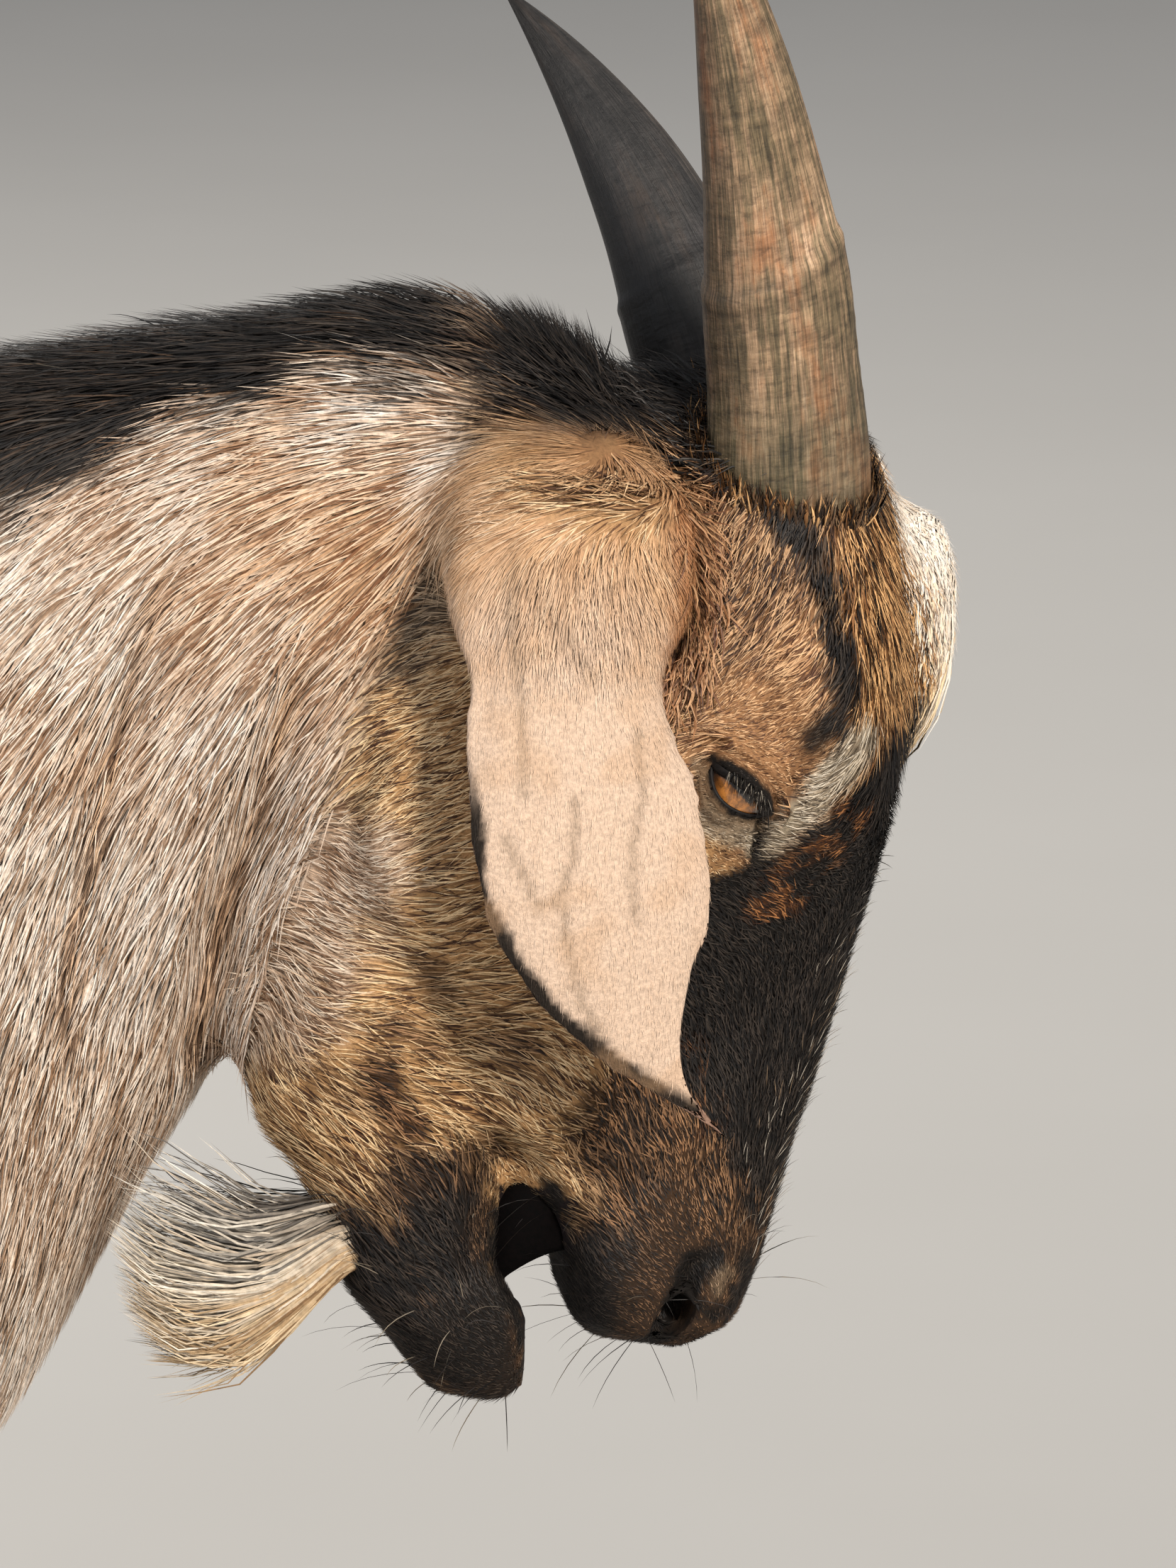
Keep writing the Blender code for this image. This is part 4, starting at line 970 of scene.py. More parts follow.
# painted shade: the skin inside the mouth is near black
skinColour[inMouth] = (0.010, 0.006, 0.006)
skinMesh = meshFrom("skin", points, faces)
paint(skinMesh, "coatColour", skinColour)
show("skin", skinMesh, skinFinish(), fleshNodes)
print("stage: skin done", len(faces))

# the lie of the coat
headLie = [
    # place in the head's frame, direction of the hair there
    ((15, 0, 55), (1, 0, 0.05)), ((45, 20, 58), (1, 0.05, 0)), ((80, 10, 66), (1, 0, 0)),
    ((96, 12, 63), (0.2, 1, -0.6)), ((115, 10, 60), (-0.8, 0.6, -0.5)), ((150, 12, 52), (-1, 0.3, -0.25)),
    ((200, 12, 42), (-1, 0.2, -0.2)), ((240, 8, 25), (-1, 0.1, -0.2)), ((190, 27, 18), (-1, 0, -0.35)),
    ((215, 27, 5), (-0.8, 0, -0.6)), ((228, 22, -4), (0.1, 0.2, -1)), ((160, 32, 5), (-0.8, 0, -0.8)),
    ((120, 40, 18), (-0.7, 0, -0.7)), ((20, 45, 15), (0.9, 0.2, -0.35)), ((45, 48, 8), (0.75, 0.1, -0.6)),
    ((40, 45, 35), (0.95, 0, -0.2)), ((62, 48, 18), (0.25, 0, -0.95)), ((70, 45, 35), (0.8, 0, -0.5)),
    ((84, 42, 40), (0.3, 0, -1)), ((76, 50, -4), (0.3, 0, -0.9)), ((104, 46, 2), (-0.3, 0, -0.9)),
    ((98, 44, 30), (-0.5, 0, -0.85)), ((110, 45, -20), (0.25, 0, -1)), ((110, 45, -55), (0.45, 0, -1)),
    ((135, 42, -40), (0.2, 0, -1)), ((160, 36, -45), (-0.1, 0, -1)), ((150, 36, -80), (0.05, 0, -1)),
    ((180, 30, -60), (-0.35, 0, -0.95)), ((185, 25, -25), (-0.6, 0, -0.8)), ((205, 22, -25), (-0.9, 0, -0.4)),
    ((215, 20, -50), (-0.75, 0, -0.7)), ((200, 20, -80), (-0.6, 0, -0.8)), ((240, 15, -45), (-0.6, 0, -0.8)),
    ((252, 8, -30), (-0.4, 0, -0.9)), ((235, 5, -68), (-0.9, 0, -0.5)), ((170, 5, -98), (-0.8, 0, -0.6)),
    ((130, 5, -98), (-0.8, 0, -0.6)), ((28, 60, -40), (0.35, 0.1, -0.95)), ((10, 50, -30), (0.0, 0.2, -1)),
    ((45, 62, -25), (0.85, 0, -0.5)), ((-5, 20, 0), (-0.5, 0.3, -0.9)), ((0, 35, -50), (-0.3, 0.2, -1)),
]
fanCentre = (340, 676)  # behind the ear, where the neck's hair turns away in all directions


def headField(spots):
    at = np.array([p for p, _ in headLie], float)
    way = unit(np.array([v for _, v in headLie], float))
    side = np.where(spots[:, 1:2] < 0, -1.0, 1.0)
    flat = spots * np.hstack([np.ones_like(side), side, np.ones_like(side)])
    total = np.zeros_like(spots)
    for spot, direction in zip(at, way):
        total += np.exp(-(((flat - spot) ** 2).sum(1)) / (2 * 15.0**2))[:, None] * direction
    total += np.exp(-((flat[:, :1] - 120) ** 2) / 1e5) * 1e-4 * np.array([-0.4, 0, -1])
    total[:, 1] *= side[:, 0]
    return unit(total) @ headAxes.T


def bodyField(spots, normals):
    x, y, z = spots.T
    away = np.stack([x - fanCentre[0], np.zeros_like(x), z - fanCentre[1]], axis=1)
    far = np.linalg.norm(away, axis=1)
    drop = np.clip((far - 40) / 121, 0, 1.3) * 0.9
    neck = unit(away) + np.stack([np.zeros_like(x), np.sign(y) * 0.1, -drop], axis=1)
    side = np.clip(np.abs(normals[:, 1]), 0, 1)
    trunk = np.stack([-np.ones_like(x), np.sign(y) * 0.1 * (normals[:, 2] > 0), -0.15 - 0.55 * side], axis=1)
    trunk = blend(trunk, np.array([-0.45, 0, -1.0]), fade(x, -470, -380)[:, None] * side[:, None])
    return unit(neck), unit(trunk)


neckWay, trunkWay = bodyField(bodySpots, normals)
legWay = np.tile((-0.12, 0, -1.0), (len(points), 1))
tailWay = np.tile((-0.5, 0, -1.0), (len(points), 1))
tailWay[:, 1] = np.sign(bodySpots[:, 1]) * 0.25
earWay = np.tile(np.array([1.0, 0, 0.04]) @ headAxes.T, (len(points), 1))
# fans out from the top of the ear
rootWay = unit(np.stack([spots[:, 0] - 5, 0 * spots[:, 0], 0.8 * (spots[:, 2] + 35)], axis=1)) @ headAxes.T
rootWay = unit(rootWay + 0.35 * np.array([1.0, 0, 0]) @ headAxes.T)
earWay = blend(rootWay, earWay, ease(spots[:, 0], 24, 70)[:, None])
lie = (
    headField(spots) * region[:, :1] + earWay * region[:, 1:2] + neckWay * region[:, 2:3] + trunkWay * region[:, 3:4]
    + legWay * region[:, 4:5] + tailWay * region[:, 5:6] + legWay * region[:, 6:7]
)
for _ in range(6):
    lie = unit(lie - normals * (lie * normals).sum(1, keepdims=True))
    lie = spread(lie, edges, 2)
lie = unit(lie - normals * (lie * normals).sum(1, keepdims=True))
print("stage: lie of the coat")

fur = {
    "sink": 0.0006,  # long hairs start just under the skin
    "spread": 0.0015,  # of a tuft's patch for baking
    "quickShare": 4,
    "quickWidth": 1.7,
    "quickLocks": 0.35,
}
skinTree = BVHTree.FromPolygons(points.tolist(), faces.tolist())
corners = points[faces]
faceArea = np.linalg.norm(np.cross(corners[:, 1] - corners[:, 0], corners[:, 2] - corners[:, 0]), axis=1) / 2


class Roots:  # where the hairs of one piece are rooted on the skin
    def __init__(self, count, weight):
        share = faceArea * np.maximum(weight[faces].mean(1), 0)
        ladder = np.cumsum(share)
        self.face = np.searchsorted(ladder, (np.arange(count) + dice.random(count)) / count * ladder[-1])
        a, b = np.sqrt(dice.random(count)), dice.random(count)
        self.share = np.stack([1 - a, a * (1 - b), a * b], axis=1)
        self.count = count
        self.at = self.read(points)
        self.normal = unit(self.read(normals))
        self.lie = unit(self.read(lie))
        self.sunk = self.at - self.normal * fur["sink"]

    def read(self, values):
        found = values[faces[self.face]]
        return (found * self.share.reshape(-1, 3, *(1,) * (found.ndim - 2))).sum(1)

    def loose(self, amount):
        return dice.normal(0, amount, (self.count, 3))

    def colours(self, liveliness=1.0):
        seen = self.at + self.lie * (self.read(length) * 0.0005)[:, None]  # where the middle of the hair lies
        shades = markings(seen, self.read(region), self.normal)
        clump = wobble(self.at, 0.010, 31, 2) * 0.16 + wobble(self.at, 0.0045, 33) * 0.20 * (liveliness > 1.2)
        return picked(shades, np.clip(0.5 + (dice.random(self.count) - 0.5) * liveliness + clump, 0, 1))


def turned(vectors, axes, angles):  # turns each vector about its own axis
    c, s = np.cos(angles)[:, None], np.sin(angles)[:, None]
    return vectors * c + np.cross(axes, vectors) * s + axes * (axes * vectors).sum(1, keepdims=True) * (1 - c)


def spikes(path, across, up, width):  # three-sided tufts round paths of points: one closed spike each
    count, rings = path.shape[0], path.shape[1] - 1
    body = np.empty((count, rings * 3 + 1, 3))
    for k in range(rings):
        half = width[:, k, None] / 2
        body[:, k * 3] = path[:, k] + across[:, k] * half
        body[:, k * 3 + 1] = path[:, k] - across[:, k] * half
        body[:, k * 3 + 2] = path[:, k] + up[:, k] * half * 0.75
    body[:, -1] = path[:, -1]
    shape = [(0, 2, 1)]
    for k in range(rings - 1):
        for a, b in ((0, 2), (2, 1), (1, 0)):
            shape += [(k * 3 + a, k * 3 + 3 + a, k * 3 + 3 + b), (k * 3 + a, k * 3 + 3 + b, k * 3 + b)]
    last, tip = rings * 3 - 3, rings * 3
    shape += [(last + a, tip, last + b) for a, b in ((0, 2), (2, 1), (1, 0))]
    first = np.arange(count, dtype=np.int32)[:, None, None] * (rings * 3 + 1)
    return body.reshape(-1, 3), (np.array(shape, np.int32) + first).reshape(-1, 3)


# each tuft's patch, where its root lies on charts of the skin by the way it faces
def bakeSpots(roots, normals, rings):
    facing = np.abs(normals).argmax(1)
    chart = facing * 2 + (np.take_along_axis(normals, facing[:, None], 1)[:, 0] > 0)
    spots = np.zeros((len(roots), 2))
    for c in range(6):
        mine = chart == c
        if mine.any():
            flat = np.delete(roots[mine], c // 2, axis=1)
            low, size = flat.min(0), np.ptp(flat, axis=0).max() + 1e-6
            spots[mine] = (np.array([c % 3, c // 3]) + 0.03 + 0.94 * (flat - low) / size) / (3, 2)
    turn = np.array([0, 2 * pi / 3, -2 * pi / 3])
    around = np.stack([np.cos(turn), np.sin(turn)], axis=1) * fur["spread"]
    patch = [around * (1 - k / rings) for k in range(rings)] + [np.zeros((1, 2))]
    return (spots[:, None] + np.vstack(patch)[None]).reshape(-1, 2)


def ringColours(base, tip, rings):
    steps = np.array([k / rings for k in range(rings) for _ in range(3)] + [1.0])[None, :, None]
    return blend(base[:, None], tip[:, None], steps).reshape(-1, 3)


def softNormals(ups, across, rings, roundness=0.55):  # a tuft catches the light as the coat round it does
    ways = np.empty((len(ups), rings * 3 + 1, 3))
    for k in range(rings):
        ways[:, k * 3] = ups[:, k] + across[:, k] * roundness
        ways[:, k * 3 + 1] = ups[:, k] - across[:, k] * roundness
        ways[:, k * 3 + 2] = ups[:, k]
    ways[:, -1] = ups[:, rings]
    return unit(ways).reshape(-1, 3)


def tuftPiece(name, made, colours, soft, roots, normals, rings, material, nodes=()):
    body, shape = made
    mesh = meshFrom(name, body, shape)
    mesh.normals_split_custom_set_from_vertices(soft)
    paint(mesh, "coatColour", colours)
    unwrap(mesh, bakeSpots(roots, normals, rings))
    print("stage:", name, len(shape))
    show(name, mesh, material, nodes)


def layFur(name, roots, tall, long, wide, rings, material, stray, liveliness=1.0, base=0.72, tip=None, lifts=None):
    # tufts that follow the skin: each next point is set over the nearest place on it
    count = roots.count
    long = long * dice.uniform(0.7, 1.2, count) / 1000
    wide = wide * dice.uniform(0.75, 1.3, count) / 1000
    tall = tall * dice.uniform(0.6, 1.35, count) / 1000
    way = turned(roots.lie, roots.normal, dice.normal(0, stray, count) + wobble(roots.at, 0.018, 41) * stray * 0.9)
    path, ups, ways = [roots.at - roots.normal * 0.0004], [roots.normal], [way]
    here = roots.at
    for k in range(1, rings + 1):
        found, _ = nearest(skinTree, here + way * (long / rings)[:, None])
        spot, up = found[:, :3], found[:, 3:]
        up = np.where((up * ups[-1]).sum(1, keepdims=True) > -0.2, up, ups[-1])
        way = unit(spot - here + way * 1e-4)
        here = spot
        lift = tall * ((k / rings) ** 0.75 if lifts is None else lifts[k])
        path.append(spot + up * lift[:, None])
        ups.append(up)
        ways.append(way)
    path, ups = np.stack(path, 1), np.stack(ups, 1)
    across = unit(np.cross(np.stack(ways, 1), ups))
    profile = np.array([0.75, 1.0, 0.8, 0.6])[:rings] if rings > 1 else np.array([1.0])
    tip = roots.colours(liveliness) if tip is None else tip
    shade = dice.uniform(base * 0.85, min(1.0, base * 1.2), count)[:, None] * np.array([1.0, 0.92, 0.84])
    made = spikes(path, across, ups, wide[:, None] * profile)
    colours, soft = ringColours(tip * shade, tip, rings), softNormals(ups, across, rings)
    tuftPiece(name, made, colours, soft, roots.at, roots.normal, rings, material)


shortFur = furFinish("shortCoat", 0.62, 800.0)
earCoat = furFinish("earCoat", 0.62, 800.0, 0.94, 1.05)
paleCoat = furFinish("paleCoat", 0.50, 500.0, 0.93, 1.06)
longFur = furFinish("longCoat", 0.50, 500.0)
shoulder = ease(bodySpots[:, 0], 60, 150)
fineFront = 1 + 4.0 * shoulder
width = width * blend(1.0, 0.55, shoulder * region[:, 3])
length = length * blend(1.0, 0.85, shoulder * region[:, 3])
covered = ease(lidGap, 0.9, 1.9) * (1 - inMouth.astype(float))
headShare = region[:, 0] * covered
folded = spots * (1, 0, 1) + np.abs(spots * (0, 1, 0))  # both sides laid on one
nostrilGap = np.linalg.norm((folded - np.array([232, 20, 16])) / (9, 9, 5.5), axis=1)
headShare = headShare * ease(nostrilGap, 0.85, 1.1)
fineness = np.clip(1.7 - (length - 2) / 7, 0.40, 1.7)

trunkShare = region[:, 3] + region[:, 5] * 1.5
furPlan = [
    # name, how many, where, rings, stray, liveliness
    ("faceFurRight", 48000, headShare * (spots[:, 1] < 6) * fineness, 1, 0.20, 1.7),
    ("faceFurLeft", 27000, headShare * (spots[:, 1] >= 6) * fineness, 1, 0.20, 1.7),
    ("earFur", 23000, region[:, 1] * (1 + 1.2 * fade(spots[:, 0], 40, 70)), 1, 0.13, 0.4),
    ("neckFurRight", 19900, region[:, 2] * (bodySpots[:, 1] < 0), 2, 0.12, 1.4),
    ("neckFurLeft", 9500, region[:, 2] * (bodySpots[:, 1] >= 0), 2, 0.12, 1.4),
    ("trunkFurRight", 12500, trunkShare * (bodySpots[:, 1] < 0) * fineFront, 2, 0.13, 1.1),
    ("trunkFurLeft", 9000, trunkShare * (bodySpots[:, 1] >= 0) * fineFront**0.6, 2, 0.13, 1.1),
    ("legFur", 24000, region[:, 4] * (1 + 0.8 * (bodySpots[:, 2] < 260)) + region[:, 6] * 0.7, 1, 0.15, 1.0),
]
for name, count, where, rings, stray, lively in furPlan:
    roots = Roots(count, where)
    tall, wide = np.maximum(roots.read(depth), 0.35), roots.read(width) * 1
    material, base = (earCoat, 0.95) if name == "earFur" else (shortFur, 0.72)
    layFur(name, roots, tall, roots.read(length), wide, rings, material, stray, lively, base)


# long hair that hangs free of the skin
def growLocks(name, values, start, way, tip, outside=None, long=None, material=None):
    # values: length and width in millimetres, root's shade against the tip's, pull and curl along the lock
    count, rings, wide = len(start), values.get("rings", 3), values["wide"]
    long = dice.uniform(*values["length"], count) / 1000 if long is None else long
    wide = dice.uniform(*wide, count) / 1000 if isinstance(wide, tuple) else np.full(count, wide / 1000)
    way = unit(way)
    outside = np.broadcast_to(way if outside is None else outside, way.shape)
    path = [start]
    twist = dice.normal(0, 1, (count, 3))
    for k in range(rings):
        bend = np.array(values["pull"]) * (k + 0.5) / rings
        way = unit(way + bend + twist * values["curl"] * (k / rings))
        path.append(path[-1] + way * (long / rings)[:, None])
    outside = outside[:, None] + 0.25 * twist[:, None]
    colours, slot = (tip, tip * values["root"]), values.get("slot", "coat")
    strung(name, np.stack(path, 1), outside, wide, colours, material or longFur, unit(way))


def strung(name, path, outside, wide, colours, material, facing, nodes=()):  # locks along paths, flat side out
    rings = path.shape[1] - 1
    ways = unit(np.gradient(path, axis=1))
    spin = unit(np.cross(ways, outside) + 1e-6)
    ups = unit(np.cross(spin, ways))
    ups = np.where((ups * outside).sum(2, keepdims=True) < 0, -ups, ups)
    profile = np.interp(np.arange(rings) / rings, [0, 0.35, 1], [0.8, 1.0, 0.35])
    made = spikes(path, np.cross(ways, ups), ups, wide[:, None] * profile)
    soft = softNormals(unit(unit(outside) + ups * 0.6) * np.ones_like(path), spin, rings)
    tip, base = colours
    tuftPiece(name, made, ringColours(base, tip, rings), soft, path[:, 0], facing, rings, material, nodes)


def tones(name, chance):
    return picked(np.array(hairs[name])[None], chance)


few = 1.0
down, brow = headAxes[:, 0], headAxes[:, 2]

# mane: a dark brush along the crest that lies back and lifts at its edge
mane = {
    "count": 7600, "length": (18, 36), "wide": (0.49, 0.91), "root": 0.6,
    "pull": (-0.25, 0, -0.30), "curl": 0.06, "lift": 0.17,
}
onCrest = crest * (region[:, 2] + region[:, 3] + region[:, 0]) * ease(bodySpots[:, 2], 640, 662)
roots = Roots(int(mane["count"] * few), onCrest * (1 + 2.5 * ease(bodySpots[:, 0], 120, 190)))
x = toBody(roots.at)[:, 0]
lift = roots.normal * (mane["lift"] + 0.12 * dice.normal(size=roots.count))[:, None]
way = unit(roots.lie * (1, 0.4, 0.3) + np.array([-0.9, 0, 0]) + lift + roots.loose(0.08))
shorter = np.interp(x, [0, 150, 240, 300, 345], [1.0, 1.0, 0.8, 0.55, 0.5])
long = dice.uniform(*mane["length"], roots.count) / 1000 * shorter
growLocks("mane", mane, roots.sunk, way, tones("black", dice.random(roots.count) ** 2), roots.normal, long)

# poll: a thick dark tuft behind the horns
pollTuft = {
    "count": 3400, "length": (9, 19), "wide": (0.5, 0.8), "root": 0.6,
    "pull": (-0.3, 0, -0.35), "curl": 0.15,
}
behind = region[:, 0] + region[:, 2] * ease(bodySpots[:, 0], 300, 325)
inTuft = behind * fade(np.linalg.norm((spots - np.array([-2, 0, 6])) / (22, 50, 42), axis=1), 0.8, 1.1)
roots = Roots(int(pollTuft["count"] * few), inTuft * ease(bodySpots[:, 2], 650, 668))
way = unit(roots.normal * 0.5 + np.array([-0.75, 0, 0.10]) + roots.loose(0.2))
growLocks("pollTuft", pollTuft, roots.sunk, way, tones("black", dice.random(roots.count) ** 2), roots.normal)


def whiteToPeach(d, long, turn, least=0.0):  # the forelock's colours: white, and peach towards its point
    peachy = ease(d + long * 0.8 + dice.normal(0, 7, len(d)), *turn)
    strands = [tones(name, least + (1 - least) * dice.random(len(d))) for name in ("white", "peach")]
    return blend(*strands, peachy[:, None])


# forelock: a white pad of hair that hugs the brow and runs down to a point, with longer hairs over it
forelock = {"count": 6000, "length": (20, 36), "wide": 0.55, "thick": (0.1, 1.3), "point": 93}
forelockLong = {
    "count": 1700, "length": (16, 34), "wide": (0.7, 1.2), "root": 0.98,
    "pull": -0.38 * brow, "curl": 0.07,
}
roots = Roots(int(forelock["count"] * few), frontTuft * ease(88 - spots[:, 0], 2, 10))
d = toHead(roots.at)[:, 0]
long = dice.uniform(*forelock["length"], roots.count)
long = np.minimum(long, np.maximum(forelock["point"] - d, 5) * dice.uniform(0.9, 1.1, roots.count))
tip = whiteToPeach(d, long, (52, 86))
thick = dice.uniform(*forelock["thick"], roots.count) * np.interp(d, [0, 15, 40, 75, 90], [0.35, 0.8, 1.0, 0.7, 0.3])
wide = np.full(roots.count, forelock["wide"])
layFur("forelock", roots, thick, long, wide, 2, paleCoat, 0.04, base=0.99, tip=tip, lifts=(0, 1.0, 0.4))
onTop = frontTuft * ease(66 - spots[:, 0], 2, 10) * (1 + 2.5 * fade(spots[:, 0], 12, 34))
roots = Roots(int(forelockLong["count"] * few), onTop)
d = toHead(roots.at)[:, 0]
long = np.minimum(dice.uniform(*forelockLong["length"], roots.count), np.maximum(forelock["point"] - d, 8))
tip = whiteToPeach(d, long, (56, 90), 0.2)
slope = brow * np.interp(d, [0, 20, 45, 66], [0.40, 0.22, -0.04, -0.22])[:, None]
lift = brow * dice.uniform(-0.03, 0.12, roots.count)[:, None]
way = unit(down + slope + lift + roots.loose(0.045))
start = roots.at + roots.normal * dice.uniform(0.0004, 0.0014, roots.count)[:, None]
growLocks("forelockLong", forelockLong, start, way, tip, roots.normal, long / 1000, paleCoat)

# reddish fringe in the fold in front of each ear
fringe = {
    "count": 3000, "length": (7, 15), "wide": (0.5, 0.9), "root": 0.45,
    "pull": down * 0.2 - brow * 0.25, "curl": 0.25, "slot": "face",
    "line": [(-4, -14), (12, -8), (26, -5), (40, -4), (54, -5), (62, -9)],
}
fold = fade(offLine(spots, fringe["line"]), 3.5, 7.5) * ease(np.abs(spots[:, 1]), 36, 46)
roots = Roots(int(fringe["count"] * few), fold * (region[:, 0] + region[:, 1]))
up = brow * 0.25 * dice.uniform(-1.4, 1.2, roots.count)[:, None]
way = unit(down * 0.75 + up + roots.normal * 0.55 + roots.loose(0.22))
growLocks("earFringe", fringe, roots.sunk, way, tones("fringe", dice.random(roots.count)), roots.normal)

# beard: wavy locks strung between four curves that sweep back from the chin, sag and turn up
beard = {
    "count": 3100,
    "curves": (  # x and z on the body, from the jaw to the tips
        ((298, 478), (272, 476), (260, 472), (248, 470), (237, 471), (224, 474), (211, 475)),
        ((298, 473), (273, 468), (262, 462), (250, 455), (236, 453), (222, 457), (209, 467)),
        ((296, 468), (274, 462), (264, 453), (253, 444), (241, 437), (227, 438), (212, 446)),
        ((292, 463), (274, 458), (265, 448), (256, 440), (245, 431), (232, 429), (219, 432)),
    ),
    "wide": (9, 12, 14, 13, 11, 7),
    "wave": 1.5,
    "thickness": (0.00045, 0.0009),
    "middle": -45,  # across the body
    "rings": 6,
    "root": (0.62, 0.55, 0.48),
}
count, rings = int(beard["count"] * few), beard["rings"]
start, stop = dice.uniform(0, 0.30, count) ** 1.3, dice.uniform(0.55, 1.0, count) ** 0.7
level = np.clip(dice.normal(0.62, 0.24, count), 0, 1)
across = np.clip(dice.normal(0, 0.5, count), -1, 1)
steps = np.linspace(0, 1, rings + 1)[None]
share = start[:, None] + (stop - start)[:, None] * steps
curves = np.array(beard["curves"], float)
keys = np.linspace(0, 1, curves.shape[1])
lines = np.stack([np.stack([np.interp(share, keys, line[:, i]) for i in (0, 1)], 2) for line in curves], 0)
rung = np.clip(level[:, None] + dice.normal(0, 0.10, count)[:, None] * steps, 0, 1) * (len(curves) - 1)
low = np.minimum(rung.astype(int), len(curves) - 2)
lower, upper = (np.take_along_axis(lines, low[None, :, :, None] + k, 0)[0] for k in (0, 1))
flat = blend(lower, upper, (rung - low)[:, :, None])
wide = np.interp(share, np.linspace(0, 1, 6), beard["wide"])
wave = beard["wave"] * np.sin(share * 11 + (level * 7 + across * 2)[:, None]) * steps
loose = (dice.random(count) < 0.12)[:, None] * dice.normal(0, 6, count)[:, None] * steps**2
# thin hairs that stray upwards
loose += ((level < 0.3) * dice.uniform(0, 26, count) * dice.random(count))[:, None] * steps**1.6
aside = beard["middle"] + across[:, None] * wide + wave
path = fromBody(np.stack([flat[:, :, 0], aside, flat[:, :, 1] + wave + loose], axis=2))
outside = np.stack([np.zeros(count), across, 0.5 - level], axis=1)[:, None] + np.array([0, -0.25, 0.1])
golden, white, greyish = (tones(name, dice.random(count)) for name in ("beardGold", "beardWhite", "beardGrey"))
tip = blend(white, golden, ease(level + dice.normal(0, 0.16, count), 0.35, 0.75)[:, None])
tip = blend(tip, greyish, fade(level + dice.normal(0, 0.08, count), 0.08, 0.35)[:, None])
wide, colours = dice.uniform(*beard["thickness"], count), (tip, tip * beard["root"])
strung("beardHair", path, outside, wide, colours, longFur, unit(outside[:, 0]), ("beard",))

# tail: a brush over the dock
tailBrush = {
    "count": 1700, "length": (16, 32), "wide": (0.9, 1.6), "root": 0.6,
    "pull": (0, 0, -0.35), "curl": 0.08,
}
roots = Roots(int(tailBrush["count"] * few), region[:, 5])
way = unit(roots.lie + roots.normal * 0.30 + roots.loose(0.1))
growLocks("tailBrush", tailBrush, roots.sunk, way, roots.colours(), roots.normal)

# eyes, lids and lashes
ball = {"across": 64, "down": 40, "bulge": 0.035, "bulgeFrom": 0.80, "bulgeOver": 0.20}
lidRim = {"points": 56, "sides": 10, "above": 1.7, "below": 0.62, "lift": 0.35, "broad": 1.25, "proud": 0.8}
eyeMaterial = eyeFinish()
lidMaterial = bareSkinFinish("darkLidSkin", (0.003, 0.0025, 0.0025), (0.010, 0.007, 0.006), 0.45, 0.25)
for label, side in (("right", -1), ("left", 1)):
    bm = bmesh.new()
    bmesh.ops.create_uvsphere(bm, u_segments=ball["across"], v_segments=ball["down"], radius=1.0)
    look = np.array([v.co[:] for v in bm.verts])  # u, v and outwards, in eye radii
    front = np.clip((look[:, 2] - ball["bulgeFrom"]) / ball["bulgeOver"], 0, 1)
    bulge = 1 + ball["bulge"] * front**1.5
    u, v, w = (look * bulge[:, None] * skin["eyeRadius"]).T
    for vertex, spot in zip(bm.verts, fromEyeAxes(u, v, w, side)):
        vertex.co = spot
    faceOut(bm)
    mesh = meshOf(bm, "eyeball_" + label, True)
    note(mesh, "look", look)
    show("eyeball_" + label, mesh, eyeMaterial, ("eye_" + label,))

    # the wet dark rim: a closed tube that follows the opening
    turns = np.linspace(0, 2 * pi, lidRim["points"], endpoint=False)
    u = eye["half"] * np.cos(turns) + eye["shift"]
    arch = np.sin(turns)
    arc = np.clip(1 - np.cos(turns) ** 2, 0, 1)
    upper = (eye["upper"] + eye["tilt"] * (u - eye["shift"])) * arc**0.8
    lower = -(eye["lower"] + eye["slope"] * (u - eye["shift"])) * arc**0.75
    v = np.where(arch > 0, upper, lower)
    thick = np.where(arch > 0, lidRim["above"], lidRim["below"]) * np.interp(arc, [0, 0.3, 1], [0.6, 0.9, 1])
    w = np.sqrt(np.maximum((skin["eyeRadius"] + lidRim["lift"]) ** 2 - np.hypot(u, v) ** 2, 9))
    rimPath = np.stack([u, v, w], axis=1)
    outward = unit(rimPath)
    across = unit(np.cross(unit(np.roll(rimPath, -1, 0) - np.roll(rimPath, 1, 0)), outward))
    rings = []
    for spot, aside, out, thickness in zip(rimPath, across, outward, thick):
        turn = np.linspace(0, 2 * pi, lidRim["sides"], endpoint=False)[:, None]
        ring = spot + (aside * np.cos(turn) * lidRim["broad"] + out * np.sin(turn) * lidRim["proud"]) * thickness
        rings.append(fromEyeAxes(*ring.T, side).tolist())
    show("lidRim_" + label, loftRings("lidRim_" + label, rings, closed=True), lidMaterial)

lashes = {
    "count": 150, "length": (5.0, 8.5), "wide": 0.20, "rings": 4, "root": 0.5,
    "pull": (0, 0, -0.25), "curl": 0.03, "slot": "face",
}
starts, ways, tips = [], [], []
for side in (-1, 1):
    count = lashes["count"]
    u = dice.uniform(-6.5, 9.0, count)
    arch = np.clip(1 - ((u - eye["shift"]) / eye["half"]) ** 2, 0, 1)
    v = (eye["upper"] + eye["tilt"] * u) * arch**0.8 + dice.uniform(0.3, 2.2, count)
    w = np.sqrt(np.maximum((skin["eyeRadius"] + 0.9) ** 2 - u**2 - v**2, 9))
    starts.append(fromEyeAxes(u, v, w, side))
    end = fromEyeAxes(u + 1.2 + dice.normal(0, 1.2, count), v - 3.2 + dice.normal(0, 0.8, count), w + 4.0, side)
    ways.append(unit(end - starts[-1]))
    tips.append(np.where(dice.random(count)[:, None] < 0.20, (0.52, 0.45, 0.36), (0.02, 0.014, 0.010)))
growLocks("lashes", lashes, *(np.vstack(part) for part in (starts, ways, tips)))

